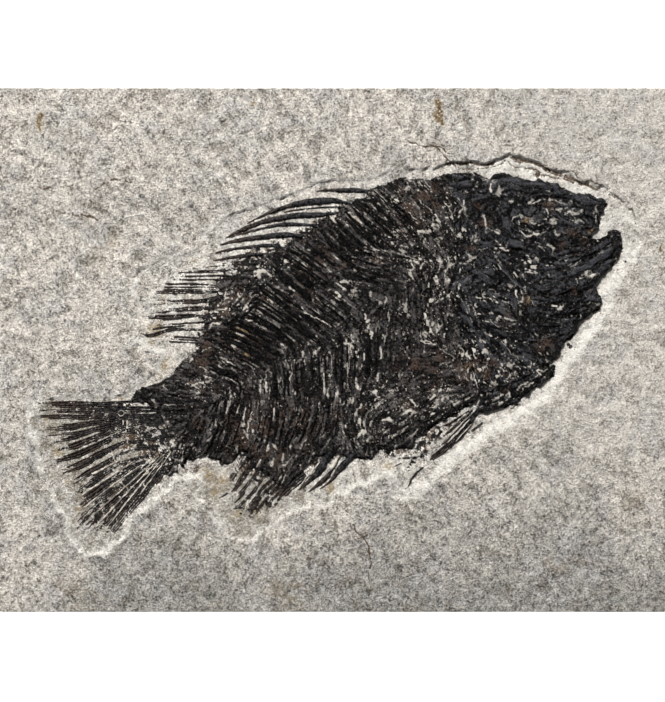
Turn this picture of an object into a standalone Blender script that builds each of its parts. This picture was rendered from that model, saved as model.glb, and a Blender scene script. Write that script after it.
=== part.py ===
"""Fossil fish slab: a spiny-finned fish, snout to the right, in a block of laminated limestone.

Metres, +Z up, +X from tail to snout. The origin is under the middle of the slab's flat underside.
The stone has a shallow prepared trough round the fish, and the bones lie in it, clear of its floor.
Outlines are marked out on a quarter-millimetre grid: a point is (columns to the right, rows down).
"""
import bmesh
import bpy
from mathutils import Vector

# ---- Driving dimensions ------------------------------------------------------------------------
SLAB_LENGTH = 0.172
SLAB_WIDTH = 0.131
SLAB_THICKNESS = 0.012
SLAB_EDGE_CHAMFER = 0.0006

TROUGH_DEPTH = 0.0012
TROUGH_WALL_RUN = 0.0005
CUTTER_RISE = 0.0012

CLEARANCE = 0.0003
TRUNK_HEIGHT = 0.0019
HEAD_HEIGHT = 0.0022
GIRDLE_HEIGHT = 0.0016
PLATE_SHOULDER = 0.55
PLATE_CROWN_INSET = 0.00035

SPINE_HEIGHT = 0.0010
RAY_HEIGHT = 0.0007
TIP_HEIGHT_SHARE = 0.4
RAY_STATIONS = 8

GRID_STEP = 0.00025
GRID_CENTRE = (332.5, 350.0)

TROUGH_FLOOR = SLAB_THICKNESS - TROUGH_DEPTH
BONE_BASE = TROUGH_FLOOR + CLEARANCE

# ---- Outlines, in grid steps, each once round the piece ------------------------------------------
TROUGH_OUTLINE = [
    (26, 397), (60, 395), (100, 395), (124, 393), (140, 384), (152, 374), (160, 362), (162, 353),
    (147, 348), (135, 340), (130, 322), (134, 300), (134, 279), (140, 269), (161, 261), (180, 257),
    (197, 250), (208, 231), (223, 222), (234, 213), (255, 205), (274, 196), (297, 189), (314, 183),
    (333, 180), (365, 178), (397, 169), (430, 167), (452, 161), (468, 160), (490, 161), (509, 154),
    (524, 157), (545, 165), (566, 174), (587, 180), (602, 187), (616, 194), (630, 208), (640, 225),
    (641, 242), (634, 260), (622, 276), (612, 292), (612, 309), (605, 320), (594, 332), (583, 350),
    (572, 364), (561, 380), (554, 393), (532, 413), (509, 425), (490, 440), (464, 455), (447, 470),
    (427, 490), (416, 500), (397, 497), (384, 477), (365, 483), (346, 490), (333, 502), (318, 508),
    (297, 509), (282, 519), (265, 531), (248, 542), (229, 536), (210, 519), (198, 499), (202, 474),
    (190, 476), (176, 484), (163, 495), (151, 504), (136, 514), (120, 541), (106, 553), (85, 555),
    (72, 544), (68, 527), (62, 512), (54, 503), (49, 487), (43, 473), (37, 457), (33, 435), (29, 415),
]

TRUNK_OUTLINE = [
    (446, 176), (452, 197), (453, 216), (455, 236), (452, 249), (450.5, 268), (452.5, 291),
    (455.5, 316), (460.5, 341), (466.5, 361), (474.5, 381), (479, 395), (476, 402), (462, 408),
    (452, 416), (441, 421), (433, 426), (425, 432), (415, 437), (411, 446), (391, 448), (387, 455),
    (382, 450), (370, 458), (356, 455), (340, 456), (322, 456), (312, 460), (303, 466), (297, 474),
    (292, 483), (286, 487), (279, 484), (268, 475), (256, 468), (250, 462), (242, 456), (236, 460),
    (228, 463), (220, 462), (212, 458), (200, 456), (186, 459), (183, 465), (176, 468), (170, 476),
    (166, 475), (172.5, 463), (172, 455), (167.5, 445), (165.5, 432), (163, 420), (158, 411),
    (146, 404), (131, 398), (136, 393), (150, 387), (160, 385), (168, 376), (175, 372), (182, 360),
    (195, 353), (200, 349), (200, 340), (205, 330), (212, 320), (215, 310), (222, 305), (225, 295),
    (216, 281), (230, 278), (245, 270), (255, 262), (265, 256), (280, 252), (290, 243), (307, 233),
    (318, 222), (336, 214), (350, 205), (353, 200), (365, 198), (371, 190), (392, 181), (415, 180),
    (437, 178),
]

SKULL_OUTLINE = [
    (450, 175), (461, 173), (475, 174), (490, 178), (497, 174), (512, 177), (525, 179), (540, 181),
    (556, 184), (570, 191), (590, 195), (603, 199), (605, 204), (602, 210), (600, 222), (598, 228),
    (592, 231), (588, 237), (573, 243), (560, 247), (540, 251), (520, 249), (500, 244), (480, 239),
    (459, 235), (457, 215), (455, 196),
]

CHEEK_OUTLINE = [
    (519, 254), (540, 255), (560, 251), (580, 246), (578, 256), (575, 268), (577, 280), (578, 289),
    (574, 300), (565, 314), (559, 328), (561, 343), (556, 352), (551, 361), (546, 350), (537, 334),
    (531, 315), (525, 296), (525, 281), (523, 268),
]

GILL_COVER_OUTLINE = [
    (457, 240), (480, 243), (500, 248), (514, 254), (520, 268), (522, 280), (522, 296), (528, 315),
    (534, 334), (543, 350), (548, 362), (530, 371), (500, 385), (483, 394), (478, 380), (470, 360),
    (464, 340), (459, 315), (456, 290), (454, 268), (455, 250),
]

LOWER_JAW_OUTLINE = [
    (584, 246), (590, 243), (597, 240), (609, 233), (617, 232), (621, 236), (622, 250), (618, 257),
    (611, 267), (606, 272), (597, 281), (590, 285), (582, 289.5), (580.5, 280), (578.5, 268),
    (581, 256),
]

THROAT_OUTLINE = [
    (594, 286), (598, 293), (601, 309), (590, 312), (585, 317), (577, 329), (572, 334), (564, 343),
    (562.5, 329), (568.5, 315), (577.5, 301), (582, 292.5),
]

PELVIC_GIRDLE_OUTLINE = [
    (484, 398.5), (500, 389), (530, 375), (548, 366.5), (554, 367), (552, 376), (538, 385),
    (528, 393), (517, 403), (498, 408), (480, 410), (481, 404),
]

# ---- Spines and rays: (column, row, width) at points along each, from its root to its tip ---------
DORSAL_SPINES = [
    [(364, 190.8, 4), (355, 190.5, 6), (343, 190.5, 5), (330, 190, 3), (317, 191.2, 1)],
    [(345, 202.5, 3), (335, 200.7, 5.5), (320, 200.8, 7.5), (305, 202.6, 7), (290, 205.3, 5),
     (278, 209.3, 3.5), (268, 213.2, 3), (256, 219.2, 1.8), (247, 223.3, 1)],
    [(331, 212.5, 3), (315, 215, 5.5), (295, 215.7, 6), (280, 218, 5.5), (268, 220.6, 5),
     (255, 224.5, 4.6), (240, 230.6, 4), (225, 238.3, 1)],
    [(303, 225.3, 3), (290, 223.8, 4), (275, 225.5, 3.6), (256, 229.4, 1.6)],
    [(290, 235.2, 4.5), (280, 235.5, 6.5), (260, 237.5, 6.5), (240, 240, 4.5), (220, 244.3, 1)],
    [(277, 246.3, 3), (265, 245.7, 4), (250, 247, 4), (230, 249.3, 3), (215, 253, 1)],
    [(262, 253.8, 2.5), (250, 254.8, 4), (235, 256.8, 4), (222, 259.3, 2.5), (213, 260.5, 1)],
    [(248, 260.6, 1.4), (237, 261.6, 1.6), (222, 263.3, 1)],
]

SOFT_DORSAL_RAYS = [
    [(243, 264.4, 1.4), (230, 265.2, 2), (210, 266.6, 2), (193, 268, 1.5)],
    [(238, 269.2, 1.6), (225, 270.5, 2), (212, 271.4, 2), (195, 271.5, 2.4), (178, 271.5, 1.6)],
    [(216, 275.4, 1.5), (205, 276.2, 2.4), (190, 277.5, 3.6), (172, 278, 3)],
    [(212, 286.3, 1.6), (190, 285, 3), (175, 285.2, 3.4), (163, 285, 2.4)],
    [(217, 291, 1.6), (202, 291, 2.4), (187, 291.5, 3.4), (170, 291.5, 4), (156, 291.5, 2.6)],
    [(216, 298.3, 1.6), (200, 300.6, 3), (185, 300.7, 3), (170, 300.8, 3.4), (155, 302, 3.4)],
    [(211, 308.6, 1.6), (200, 307.6, 3), (180, 308.7, 4), (165, 310.6, 4.4), (152, 312, 3.4)],
    [(207, 317, 1.8), (190, 316, 3.4), (165, 318, 4.4), (150, 318.5, 4.2), (142, 317, 2)],
    [(203, 322.5, 1.8), (190, 323.5, 3), (175, 324.8, 4), (160, 326.5, 4.2), (150, 328.5, 2.8)],
    [(197, 329.8, 1.8), (180, 329, 2.8), (168, 331, 3.4), (155, 334, 3.6), (143, 334.5, 2.2)],
    [(194, 338.3, 2), (182, 337.8, 3.4), (170, 338.5, 3.8), (163, 340.3, 2)],
]

ANAL_SPINES = [
    [(348, 461.5, 6), (342, 467.5, 7), (337, 474, 6), (332, 480.5, 3), (326, 485, 1.8),
     (320, 489.2, 1)],
    [(337.5, 461, 1.4), (333.5, 468.5, 2), (328, 476, 4), (321.5, 482.5, 4.6), (314, 488.3, 3.4),
     (307, 493.7, 1)],
    [(325, 461, 7), (321.5, 467.5, 8), (316, 475, 6), (310, 481, 5), (304, 486, 3.6),
     (297.5, 490.5, 1)],
]

ANAL_RAYS = [
    [(241, 464, 2), (236, 470, 4.5), (229, 479, 2)],
    [(246, 469, 1.6), (238.5, 481, 4), (235, 488, 3), (227, 493.5, 1.5)],
    [(254, 477.5, 2.4), (249.6, 483, 4), (242, 492.5, 4), (235, 500.5, 2)],
    [(261.5, 481.5, 2.4), (257, 487, 4), (252, 494.5, 4), (243, 503, 3.6), (235, 510, 1.8)],
    [(270, 481.5, 2.4), (264, 486.5, 4), (258.5, 494.5, 4), (252.5, 502.5, 3.6), (247.5, 510.5, 2.4)],
    [(271.5, 488, 2.4), (266, 493, 4), (259.8, 501, 3.8), (254.7, 507, 3), (250, 513, 1.8)],
    [(276, 490, 2.4), (270, 497, 4), (264.5, 503.5, 4), (259, 511, 3.6), (254, 519, 2)],
    [(281.5, 493, 3), (275.5, 500, 4.6), (270, 508, 2.8)],
]

TAIL_RAYS = [
    [(130, 402.5, 2), (115, 403, 2.4), (100, 403.6, 2), (85, 403, 2), (70, 402.4, 2.2),
     (50, 402.6, 2), (38, 402.8, 1.4)],
    [(142, 408, 1.8), (130, 408, 2.4), (115, 407.2, 3), (100, 407, 3), (85, 407, 3),
     (70, 406.2, 3), (55, 406.2, 2.6), (44, 406.4, 1.6)],
    [(150, 411.3, 1.6), (140, 411.7, 2), (118, 411.5, 3), (100, 411.6, 3), (85, 411.2, 3),
     (70, 411, 2.8), (55, 411.3, 2.4), (39, 411.6, 1.6)],
    [(154, 414.6, 1.6), (140, 415.1, 2), (120, 415.5, 3), (100, 416, 3.2), (85, 416.8, 3.4),
     (70, 416.8, 3.4), (55, 416.3, 3), (40, 417, 1.8)],
    [(156, 416.9, 1.2), (148, 417.6, 1.4), (140, 418.5, 1.8), (125, 419.7, 2.6), (105, 421.4, 3.6),
     (85, 424, 4), (60, 427.5, 3.6), (46, 429.5, 2)],
    [(157, 419.4, 1.2), (148, 420.3, 1.4), (140, 421.6, 1.6), (122, 423.9, 2.6), (105, 427, 3.6),
     (85, 432.5, 4.2), (60, 438, 3.6), (46, 440.5, 2)],
    [(156.5, 422, 1.3), (148, 423.2, 1.6), (140, 424.9, 1.8), (122, 428.2, 2.6), (108, 432.4, 3.4),
     (90, 440, 4.4), (75, 445.6, 4), (58, 449.8, 2.4)],
    [(154, 425.4, 1.4), (145, 427, 1.8), (135, 429.6, 2.2), (122, 433.6, 3), (100, 443.6, 4),
     (80, 453.3, 4.4), (68, 457.5, 3.6), (56, 460, 2)],
    [(160, 437, 1.6), (148, 440, 2.2), (136, 441, 2.6), (122, 443.6, 3.4), (100, 454, 5),
     (80, 464.5, 5), (70, 469, 4), (61, 472.5, 2.2)],
    [(150, 447, 1.8), (135, 448.8, 2.8), (120, 455.4, 4), (100, 466, 5.4), (85, 474.6, 5),
     (73, 483, 2.6)],
    [(146, 456, 1.8), (135, 459, 3), (120, 464.6, 4), (105, 473.5, 5), (90, 483.6, 6), (75, 493.5, 3)],
    [(143, 461.5, 1.8), (133, 466.5, 3.4), (118, 476.6, 5), (100, 489, 6.4), (90, 496.2, 6),
     (80, 505, 2.6)],
    [(147, 465, 1.6), (139, 471, 3), (127, 480, 4.4), (110, 493.8, 6), (96, 505.8, 6.4),
     (86, 516.6, 5), (77, 527, 2)],
    [(155.5, 461, 1.2), (148, 469.4, 1.8), (138, 478.6, 3.4), (125, 490.4, 4.6), (112, 503.5, 5),
     (98, 517, 5), (86, 527, 2.4)],
    [(160.6, 459.8, 1.2), (153, 468.2, 1.8), (144.4, 478.4, 3), (132, 491.4, 4), (120, 505.5, 4.6),
     (108.8, 519.6, 4.6), (97, 531, 2.4)],
    [(163.6, 461.8, 1.2), (155.5, 471, 2.2), (146.7, 482, 3), (137, 494, 4), (127, 506.6, 4.8),
     (119, 516.6, 4.4), (111, 526.6, 3.8), (103, 537, 1.8)],
    [(168, 461, 1.4), (160.5, 471.5, 2.4), (152, 484, 3.6), (144, 494, 4), (136.5, 502.4, 3.4),
     (130, 511, 2.2), (121, 522.4, 1.8), (112.5, 532, 1.2)],
]

PELVIC_SPINE = [
    (475.5, 414, 3), (470.6, 420.4, 4.6), (465.7, 429, 5.2), (459.4, 436.5, 5.6),
    (451.7, 443.5, 6), (443.2, 450.5, 6), (435.5, 456, 4.6), (430.6, 459.6, 1.4),
]

PELVIC_RAYS = [
    [(462, 415.8, 1.2), (455.2, 420.4, 2), (446, 425, 2), (440, 428, 1.2)],
    [(466.5, 416.6, 1.2), (460.8, 423.2, 1.8), (452.4, 430.2, 2.2), (443.2, 437.2, 2),
     (436, 442, 1.2)],
    [(460.5, 427.2, 1.2), (446, 441.6, 2), (436, 448.4, 2.4), (425, 454, 2.8), (413, 457.6, 3.6),
     (399, 459.6, 2)],
]

# ---- Finishes: base colour, roughness -----------------------------------------------------------
LIMESTONE = ("limestone", (0.50, 0.46, 0.40), 0.9)
SKULL_BONE = ("skull_bone", (0.028, 0.026, 0.027), 0.45)
FIN_BONE = ("fin_bone", (0.045, 0.038, 0.036), 0.5)
BODY_FILM = ("body_film", (0.033, 0.028, 0.027), 0.5)


def clear_scene():
    """Remove whatever the scene holds."""
    for obj in list(bpy.data.objects):
        bpy.data.objects.remove(obj, do_unlink=True)


def finish_material(finish):
    """Return the material of one finish, made the first time it is asked for."""
    name, colour, roughness = finish
    material = bpy.data.materials.get(name)
    if material is None:
        material = bpy.data.materials.new(name)
        material.use_nodes = True
        shader = material.node_tree.nodes["Principled BSDF"]
        shader.inputs["Base Color"].default_value = (*colour, 1.0)
        shader.inputs["Roughness"].default_value = roughness
        shader.inputs["Metallic"].default_value = 0.0
    return material


def on_slab(column, row):
    """Turn a grid point into metres on the slab, across (x) and up (y)."""
    across = (column - GRID_CENTRE[0]) * GRID_STEP
    up = (GRID_CENTRE[1] - row) * GRID_STEP
    return Vector((across, up))


def anticlockwise(outline):
    """Return an outline's points in metres, running anticlockwise seen from above."""
    points = [on_slab(column, row) for column, row in outline]
    doubled_area = sum(a.cross(b) for a, b in zip(points, points[1:] + points[:1]))
    return points if doubled_area > 0 else points[::-1]


def inset(points, distance):
    """Move each point of an anticlockwise loop inwards, along the mean normal of its two sides."""
    moved = []
    count = len(points)
    for index, point in enumerate(points):
        before = (point - points[index - 1]).normalized()
        after = (points[(index + 1) % count] - point).normalized()
        along = (before + after).normalized()
        moved.append(point + Vector((-along.y, along.x)) * distance)
    return moved


def make_object(name, mesh_builder, finish):
    """Turn a bmesh into a named object with its finish."""
    mesh = bpy.data.meshes.new(name)
    mesh_builder.to_mesh(mesh)
    mesh_builder.free()
    mesh.materials.append(finish_material(finish))
    obj = bpy.data.objects.new(name, mesh)
    bpy.context.collection.objects.link(obj)
    return obj


def stack_loops(loops):
    """Skin equal rings of 3-D points, first ring at the start and last at the end, and cap both."""
    shape = bmesh.new()
    rings = [[shape.verts.new(point) for point in loop] for loop in loops]
    for lower, upper in zip(rings, rings[1:]):
        count = len(lower)
        for index in range(count):
            following = (index + 1) % count
            shape.faces.new((lower[index], lower[following], upper[following], upper[index]))
    shape.faces.new(rings[0][::-1])
    shape.faces.new(rings[-1])
    bmesh.ops.recalc_face_normals(shape, faces=shape.faces)
    return shape


def level(points, height):
    """Lift a flat loop to one height."""
    return [(point.x, point.y, height) for point in points]


def make_plate(name, outline, height, finish):
    """Make one flat-lying bone: upright sides, then a sloping shoulder round a level crown."""
    rim = anticlockwise(outline)
    crown = inset(rim, PLATE_CROWN_INSET)
    loops = [
        level(rim, BONE_BASE),
        level(rim, BONE_BASE + height * PLATE_SHOULDER),
        level(crown, BONE_BASE + height),
    ]
    return make_object(name, stack_loops(loops), finish)


def smooth_stations(marks, count):
    """Read evenly spaced (x, y, width) stations from a Catmull-Rom curve through the marks."""
    knots = []
    for column, row, width in marks:
        place = on_slab(column, row)
        knots.append(Vector((place.x, place.y, width * GRID_STEP)))
    knots = [2 * knots[0] - knots[1], *knots, 2 * knots[-1] - knots[-2]]
    spans = len(knots) - 3
    stations = []
    for number in range(count):
        place = min(number * spans / (count - 1), spans - 1e-9)
        first = int(place)
        t = place - first
        a, b, c, d = knots[first:first + 4]
        stations.append(
            b + (c - a) * (t / 2)
            + (2 * a - 5 * b + 4 * c - d) * (t * t / 2)
            + (3 * b - a - 3 * c + d) * (t * t * t / 2)
        )
    return stations


def make_rod(name, marks, height, finish):
    """Make one spine or ray: a flat-bottomed, round-backed rod that tapers along a curve."""
    stations = smooth_stations(marks, RAY_STATIONS)
    widest = max(station.z for station in stations)
    loops = []
    for index, station in enumerate(stations):
        before = stations[max(index - 1, 0)]
        after = stations[min(index + 1, len(stations) - 1)]
        along = (after.xy - before.xy).normalized()
        side = Vector((-along.y, along.x)) * (station.z / 2)
        rise = height * (TIP_HEIGHT_SHARE + (1 - TIP_HEIGHT_SHARE) * station.z / widest)
        section = [(-1.0, 0.0), (-0.85, 0.55), (0.0, 1.0), (0.85, 0.55), (1.0, 0.0)]
        loops.append([
            (station.x + side.x * across, station.y + side.y * across, BONE_BASE + rise * up)
            for across, up in section
        ])
    return make_object(name, stack_loops(loops), finish)


def make_slab():
    """Make the sawn limestone block, with the trough cut into its upper face."""
    block = bmesh.new()
    bmesh.ops.create_cube(block, size=1.0)
    bmesh.ops.scale(block, vec=(SLAB_LENGTH, SLAB_WIDTH, SLAB_THICKNESS), verts=block.verts)
    bmesh.ops.translate(block, vec=(0, 0, SLAB_THICKNESS / 2), verts=block.verts)
    bmesh.ops.bevel(
        block, geom=block.edges[:], offset=SLAB_EDGE_CHAMFER, segments=1, affect="EDGES"
    )
    slab = make_object("limestone_slab", block, LIMESTONE)

    brim = anticlockwise(TROUGH_OUTLINE)
    spread = TROUGH_WALL_RUN * CUTTER_RISE / TROUGH_DEPTH
    loops = [
        level(inset(brim, TROUGH_WALL_RUN), TROUGH_FLOOR),
        level(inset(brim, -spread), SLAB_THICKNESS + CUTTER_RISE),
    ]
    cutter = make_object("trough_cutter", stack_loops(loops), LIMESTONE)
    cutter.hide_render = True
    cutter.display_type = "WIRE"

    cut = slab.modifiers.new("trough", "BOOLEAN")
    cut.operation = "DIFFERENCE"
    cut.solver = "EXACT"
    cut.object = cutter
    return slab


def make_fin(name, group, height):
    """Make every spine or ray of one fin, numbered from 1."""
    for number, marks in enumerate(group, start=1):
        make_rod(f"{name}_{number}", marks, height, FIN_BONE)


def main():
    """Build the slab and every bone that lies in it."""
    clear_scene()
    make_slab()
    make_plate("trunk", TRUNK_OUTLINE, TRUNK_HEIGHT, BODY_FILM)
    make_plate("skull", SKULL_OUTLINE, HEAD_HEIGHT, SKULL_BONE)
    make_plate("cheek_plate", CHEEK_OUTLINE, HEAD_HEIGHT, SKULL_BONE)
    make_plate("gill_cover", GILL_COVER_OUTLINE, HEAD_HEIGHT, SKULL_BONE)
    make_plate("lower_jaw", LOWER_JAW_OUTLINE, HEAD_HEIGHT, SKULL_BONE)
    make_plate("throat_bones", THROAT_OUTLINE, HEAD_HEIGHT, SKULL_BONE)
    make_plate("pelvic_girdle", PELVIC_GIRDLE_OUTLINE, GIRDLE_HEIGHT, SKULL_BONE)
    make_fin("dorsal_spine", DORSAL_SPINES, SPINE_HEIGHT)
    make_fin("soft_dorsal_ray", SOFT_DORSAL_RAYS, RAY_HEIGHT)
    make_fin("anal_spine", ANAL_SPINES, SPINE_HEIGHT)
    make_fin("anal_ray", ANAL_RAYS, RAY_HEIGHT)
    make_fin("tail_ray", TAIL_RAYS, RAY_HEIGHT)
    make_rod("pelvic_spine", PELVIC_SPINE, SPINE_HEIGHT, FIN_BONE)
    make_fin("pelvic_ray", PELVIC_RAYS, RAY_HEIGHT)


main()
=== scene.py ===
"""Fossil fish slab: the finished stone, bones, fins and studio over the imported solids.

Metres, +Z up, +X from the tail to the snout. Outlines and lines are marked out on a quarter-millimetre
grid, as (columns to the right, rows down), and a third number on a line is its width in grid steps.
"""

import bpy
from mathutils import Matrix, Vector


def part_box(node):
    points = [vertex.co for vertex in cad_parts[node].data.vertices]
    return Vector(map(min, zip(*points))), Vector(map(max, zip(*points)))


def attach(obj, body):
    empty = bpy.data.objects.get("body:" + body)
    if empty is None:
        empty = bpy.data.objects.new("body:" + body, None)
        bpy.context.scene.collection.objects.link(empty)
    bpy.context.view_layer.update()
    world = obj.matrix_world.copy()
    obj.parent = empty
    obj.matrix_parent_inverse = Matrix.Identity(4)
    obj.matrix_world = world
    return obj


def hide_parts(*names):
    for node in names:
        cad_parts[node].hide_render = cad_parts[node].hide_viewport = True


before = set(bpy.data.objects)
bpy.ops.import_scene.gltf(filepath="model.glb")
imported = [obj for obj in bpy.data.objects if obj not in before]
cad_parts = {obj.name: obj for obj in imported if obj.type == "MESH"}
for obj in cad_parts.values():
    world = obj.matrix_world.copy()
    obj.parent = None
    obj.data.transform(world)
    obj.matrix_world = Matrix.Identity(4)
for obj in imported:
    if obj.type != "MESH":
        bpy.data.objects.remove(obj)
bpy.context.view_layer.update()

import copy

import bmesh
import bpy
import numpy as np
from bpy.props import FloatProperty, FloatVectorProperty, IntProperty, PointerProperty
from mathutils import Vector

bl_info = {
    "name": "Fossil Fish Slab",
    "version": (1, 0, 0),
    "blender": (4, 5, 0),
    "location": "View3D > Sidebar > Fossil",
    "description": "Builds a prepared fossil fish in a block of laminated limestone",
    "category": "Add Mesh",
}

# ---- Sizes and places shared by every piece
SLAB_LOW, SLAB_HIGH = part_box("limestone_slab")
SLAB_TOP = SLAB_HIGH[2]
TRUNK_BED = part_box("trunk")[0][2]
GRID_STEP = 0.00025
GRID_CENTRE = (332.5, 350.0)
BODY = "root"
MM = 0.001

# ---- The stone
TROUGH_EDGE = [
    (26, 397), (60, 395), (100, 395), (124, 393), (140, 384), (152, 374), (160, 362), (162, 353),
    (147, 348), (135, 340), (130, 322), (134, 300), (134, 279), (140, 269), (161, 261), (180, 257),
    (197, 250), (208, 231), (223, 222), (234, 213), (255, 205), (274, 196), (314, 183), (333, 180),
    (365, 178), (397, 169), (430, 167), (452, 161), (468, 160), (490, 161), (509, 154), (524, 157),
    (566, 174), (587, 180), (616, 194), (630, 208), (640, 225), (641, 242), (634, 260), (622, 276),
    (612, 292), (612, 309), (605, 320), (594, 332), (583, 350), (561, 380), (554, 393), (532, 413),
    (509, 425), (490, 440), (464, 455), (416, 500), (397, 497), (384, 477), (346, 490), (333, 502),
    (318, 508), (297, 509), (248, 542), (229, 536), (210, 519), (198, 499), (202, 474), (190, 476),
    (176, 484), (151, 504), (136, 514), (120, 541), (106, 553), (85, 555), (72, 544), (68, 527),
    (62, 512), (54, 503), (49, 487), (37, 457),
]

# Where the trough runs out in a long scraped slope instead of a step.
SCRAPED_SLOPE = [
    (618, 225, 20), (622, 255, 22), (604, 290, 22), (596, 322, 22), (573, 352, 22), (552, 384, 22),
    (524, 405, 22), (490, 425, 24), (462, 444, 22), (438, 466, 20), (414, 484, 20), (390, 470, 16),
]
SCRAPED_TAIL_SLOPE = [
    (350, 474, 12), (325, 494, 10), (297, 498, 10), (275, 512, 10), (250, 530, 10), (226, 520, 10),
]

# Thin broken edges of laminae above the fish, as (column, row, width).
LAMINA_EDGES = [
    [(131, 322, 2), (135, 300, 2), (135, 279, 1.6), (140, 270, 2), (149, 266, 2), (161, 262, 2),
     (180, 258, 1.6), (197, 251, 2)],
    [(208, 232, 1.6), (223, 224, 1.6), (234, 215, 2), (255, 207, 1.6), (274, 198, 2),
     (297, 192, 1.6), (314, 184, 2), (333, 181, 1.6), (365, 179, 2), (397, 170, 2), (430, 168, 2)],
    [(430, 168, 2), (452, 163, 3), (468, 162, 3), (490, 163, 3), (509, 157, 4), (524, 161, 4.4),
     (545, 168, 4.4), (566, 177, 4), (587, 183, 3.6), (615, 196, 2)],
    [(455, 168, 1.6), (480, 168, 1.6), (505, 163, 1.6), (556, 178, 2), (580, 184, 1.6)],
    [(540, 163, 1), (560, 169, 1.6), (600, 184, 1.6), (611, 190, 1)],
    [(615, 194, 1), (625, 203, 1.6), (633, 214, 1), (638, 226, 1)],
]

# Cracks, rust and soot in the stone, and scraped white marks on it, as (column, row, width).
CRACKS = [
    [(405, 141, 1), (432, 149, 1.2), (447, 158, 1), (457, 166, 1)],
    [(432, 149, 0.8), (440, 150, 0.8), (449, 154, 0.6)],
    [(447, 158, 0.8), (447, 163, 0.8), (451, 168, 0.6)],
    [(344, 507, 0.8), (354, 528, 0.8), (371, 545, 0.8), (369, 570, 0.8), (371, 611, 0.6)],
    [(96, 190, 0.8), (113, 177, 0.8), (130, 181, 0.8)], [(38, 186, 0.6), (68, 188, 0.6)],
    [(60, 213, 0.6), (81, 215, 0.8), (98, 220, 0.6)], [(8, 422, 0.6), (21, 413, 0.6)],
    [(512, 408, 0.8), (521, 403, 1)],
]

RUST_MARKS = [
    [(39, 117, 6), (39, 127, 7)], [(253, 102, 2), (254, 104, 2)],
    [(437, 103, 6), (438, 113, 8), (440, 120, 5), (443, 125, 3)], [(660, 247, 3), (661, 251, 3)],
]

SOOT_MARKS = [
    [(153, 541, 1.6), (154, 543, 1.4)], [(145, 554, 1.4), (145, 556, 1.4)],
    [(59, 566, 1.6), (60, 567, 1.4)], [(569, 345, 4.4), (571, 347, 4)],
    [(624, 261, 2), (626, 262, 2)], [(561, 328, 1), (566, 330, 1)],
]

WHITE_MARKS = [
    [(456, 127, 3), (464, 129, 3)], [(318, 169, 2.4), (326, 171, 2.4)],
    [(619, 213, 6), (630, 218, 8), (638, 226, 5)],
]

# Olive and ochre stains in the stone, as (column, row, reach).
OLIVE_SPOTS = [
    (206, 477, 13), (214, 488, 13), (222, 480, 10), (160, 300, 9), (162, 364, 12), (156, 328, 10),
    (150, 345, 7), (205, 478, 6), (58, 452, 8), (68, 478, 8), (46, 418, 7), (80, 512, 8),
    (120, 396, 7), (100, 396, 6), (388, 464, 8), (258, 508, 9), (238, 516, 8), (150, 368, 7),
    (196, 256, 7), (330, 488, 6),
]
OCHRE_PATCHES = [
    (75, 600, 26), (285, 590, 30), (160, 375, 12), (470, 166, 10), (210, 255, 10), (95, 520, 10),
    (185, 290, 10), (250, 525, 14), (640, 505, 22), (555, 560, 18), (110, 250, 24), (660, 249, 8),
]

# ---- The body
TRUNK_EDGE = [
    (446, 176), (452, 197), (455, 236), (452, 249), (450.5, 268), (455.5, 316), (460.5, 341),
    (466.5, 361), (479, 395), (476, 402), (462, 408), (452, 416), (441, 421), (425, 432), (415, 437),
    (411, 446), (400, 449), (391, 448), (388, 456), (384, 451), (378, 451), (370, 459), (366, 455),
    (362, 459), (357, 455), (350, 460), (340, 456), (322, 456), (312, 460), (303, 466), (292, 483),
    (286, 487), (279, 484), (268, 475), (256, 468), (250, 462), (246, 451), (240, 452), (236, 460),
    (228, 463), (220, 463), (221, 458), (212, 459), (208, 457), (207, 452), (200, 456), (195, 461),
    (186, 459), (184, 466), (178, 462), (176, 468), (170, 476), (166, 475), (172.5, 463), (172, 455),
    (167.5, 445), (163, 420), (158, 411), (146, 404), (131, 398), (136, 393), (150, 387), (160, 385),
    (168, 376), (175, 372), (182, 360), (190, 357), (200, 350), (200, 340), (205, 330), (212, 320),
    (215, 310), (222, 305), (225, 295), (220, 285), (216, 281), (230, 278), (245, 270), (255, 262),
    (265, 256), (280, 252), (290, 243), (300, 238), (307, 233), (318, 222), (336, 214), (342, 208),
    (350, 205), (353, 200), (365, 198), (371, 190), (380, 188), (385, 184), (400, 179), (430, 180),
]

SKULL_EDGE = [
    (448, 175.5), (461, 173), (475, 174), (490, 178), (497, 174), (550, 182), (556, 184), (560, 188),
    (578, 194), (590, 195), (603, 199), (606, 201), (600, 215), (600, 222), (598, 228), (592, 231),
    (589, 238), (560, 248), (540, 252), (520, 250), (480, 240), (457, 236.5), (453.5, 196),
]

CHEEK_EDGE = [
    (517.5, 253), (540, 254), (581, 245), (576.5, 268), (579.5, 289), (575, 301), (566, 315),
    (560.5, 328), (562, 343), (560, 352), (557, 357), (551, 361), (546, 350), (536, 334), (524, 296),
    (523.5, 281),
]

GILL_COVER_EDGE = [
    (456, 239), (480, 242), (500, 247), (516, 253), (523, 281), (523, 296), (535, 334), (545, 351),
    (549, 362), (483, 395), (469, 361), (463, 341), (458, 316), (453, 268), (454, 250),
]

LOWER_JAW_EDGE = [
    (583, 245), (588, 241), (597, 240), (609, 233), (617, 232), (621, 236), (621, 245), (622, 250),
    (616, 262), (597, 281), (581, 291), (577.5, 268),
]

THROAT_EDGE = [
    (594, 286), (598, 293), (601, 309), (590, 312), (580, 322), (577, 329), (567, 338), (563, 344),
    (561.5, 329), (567.5, 315), (581.5, 292.5),
]

PELVIC_GIRDLE_EDGE = [
    (483, 397.5), (500, 388), (547, 366), (555, 366), (553, 376), (545, 380), (528, 393), (520, 398),
    (517, 403), (490, 410), (479, 411), (480, 404),
]

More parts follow.
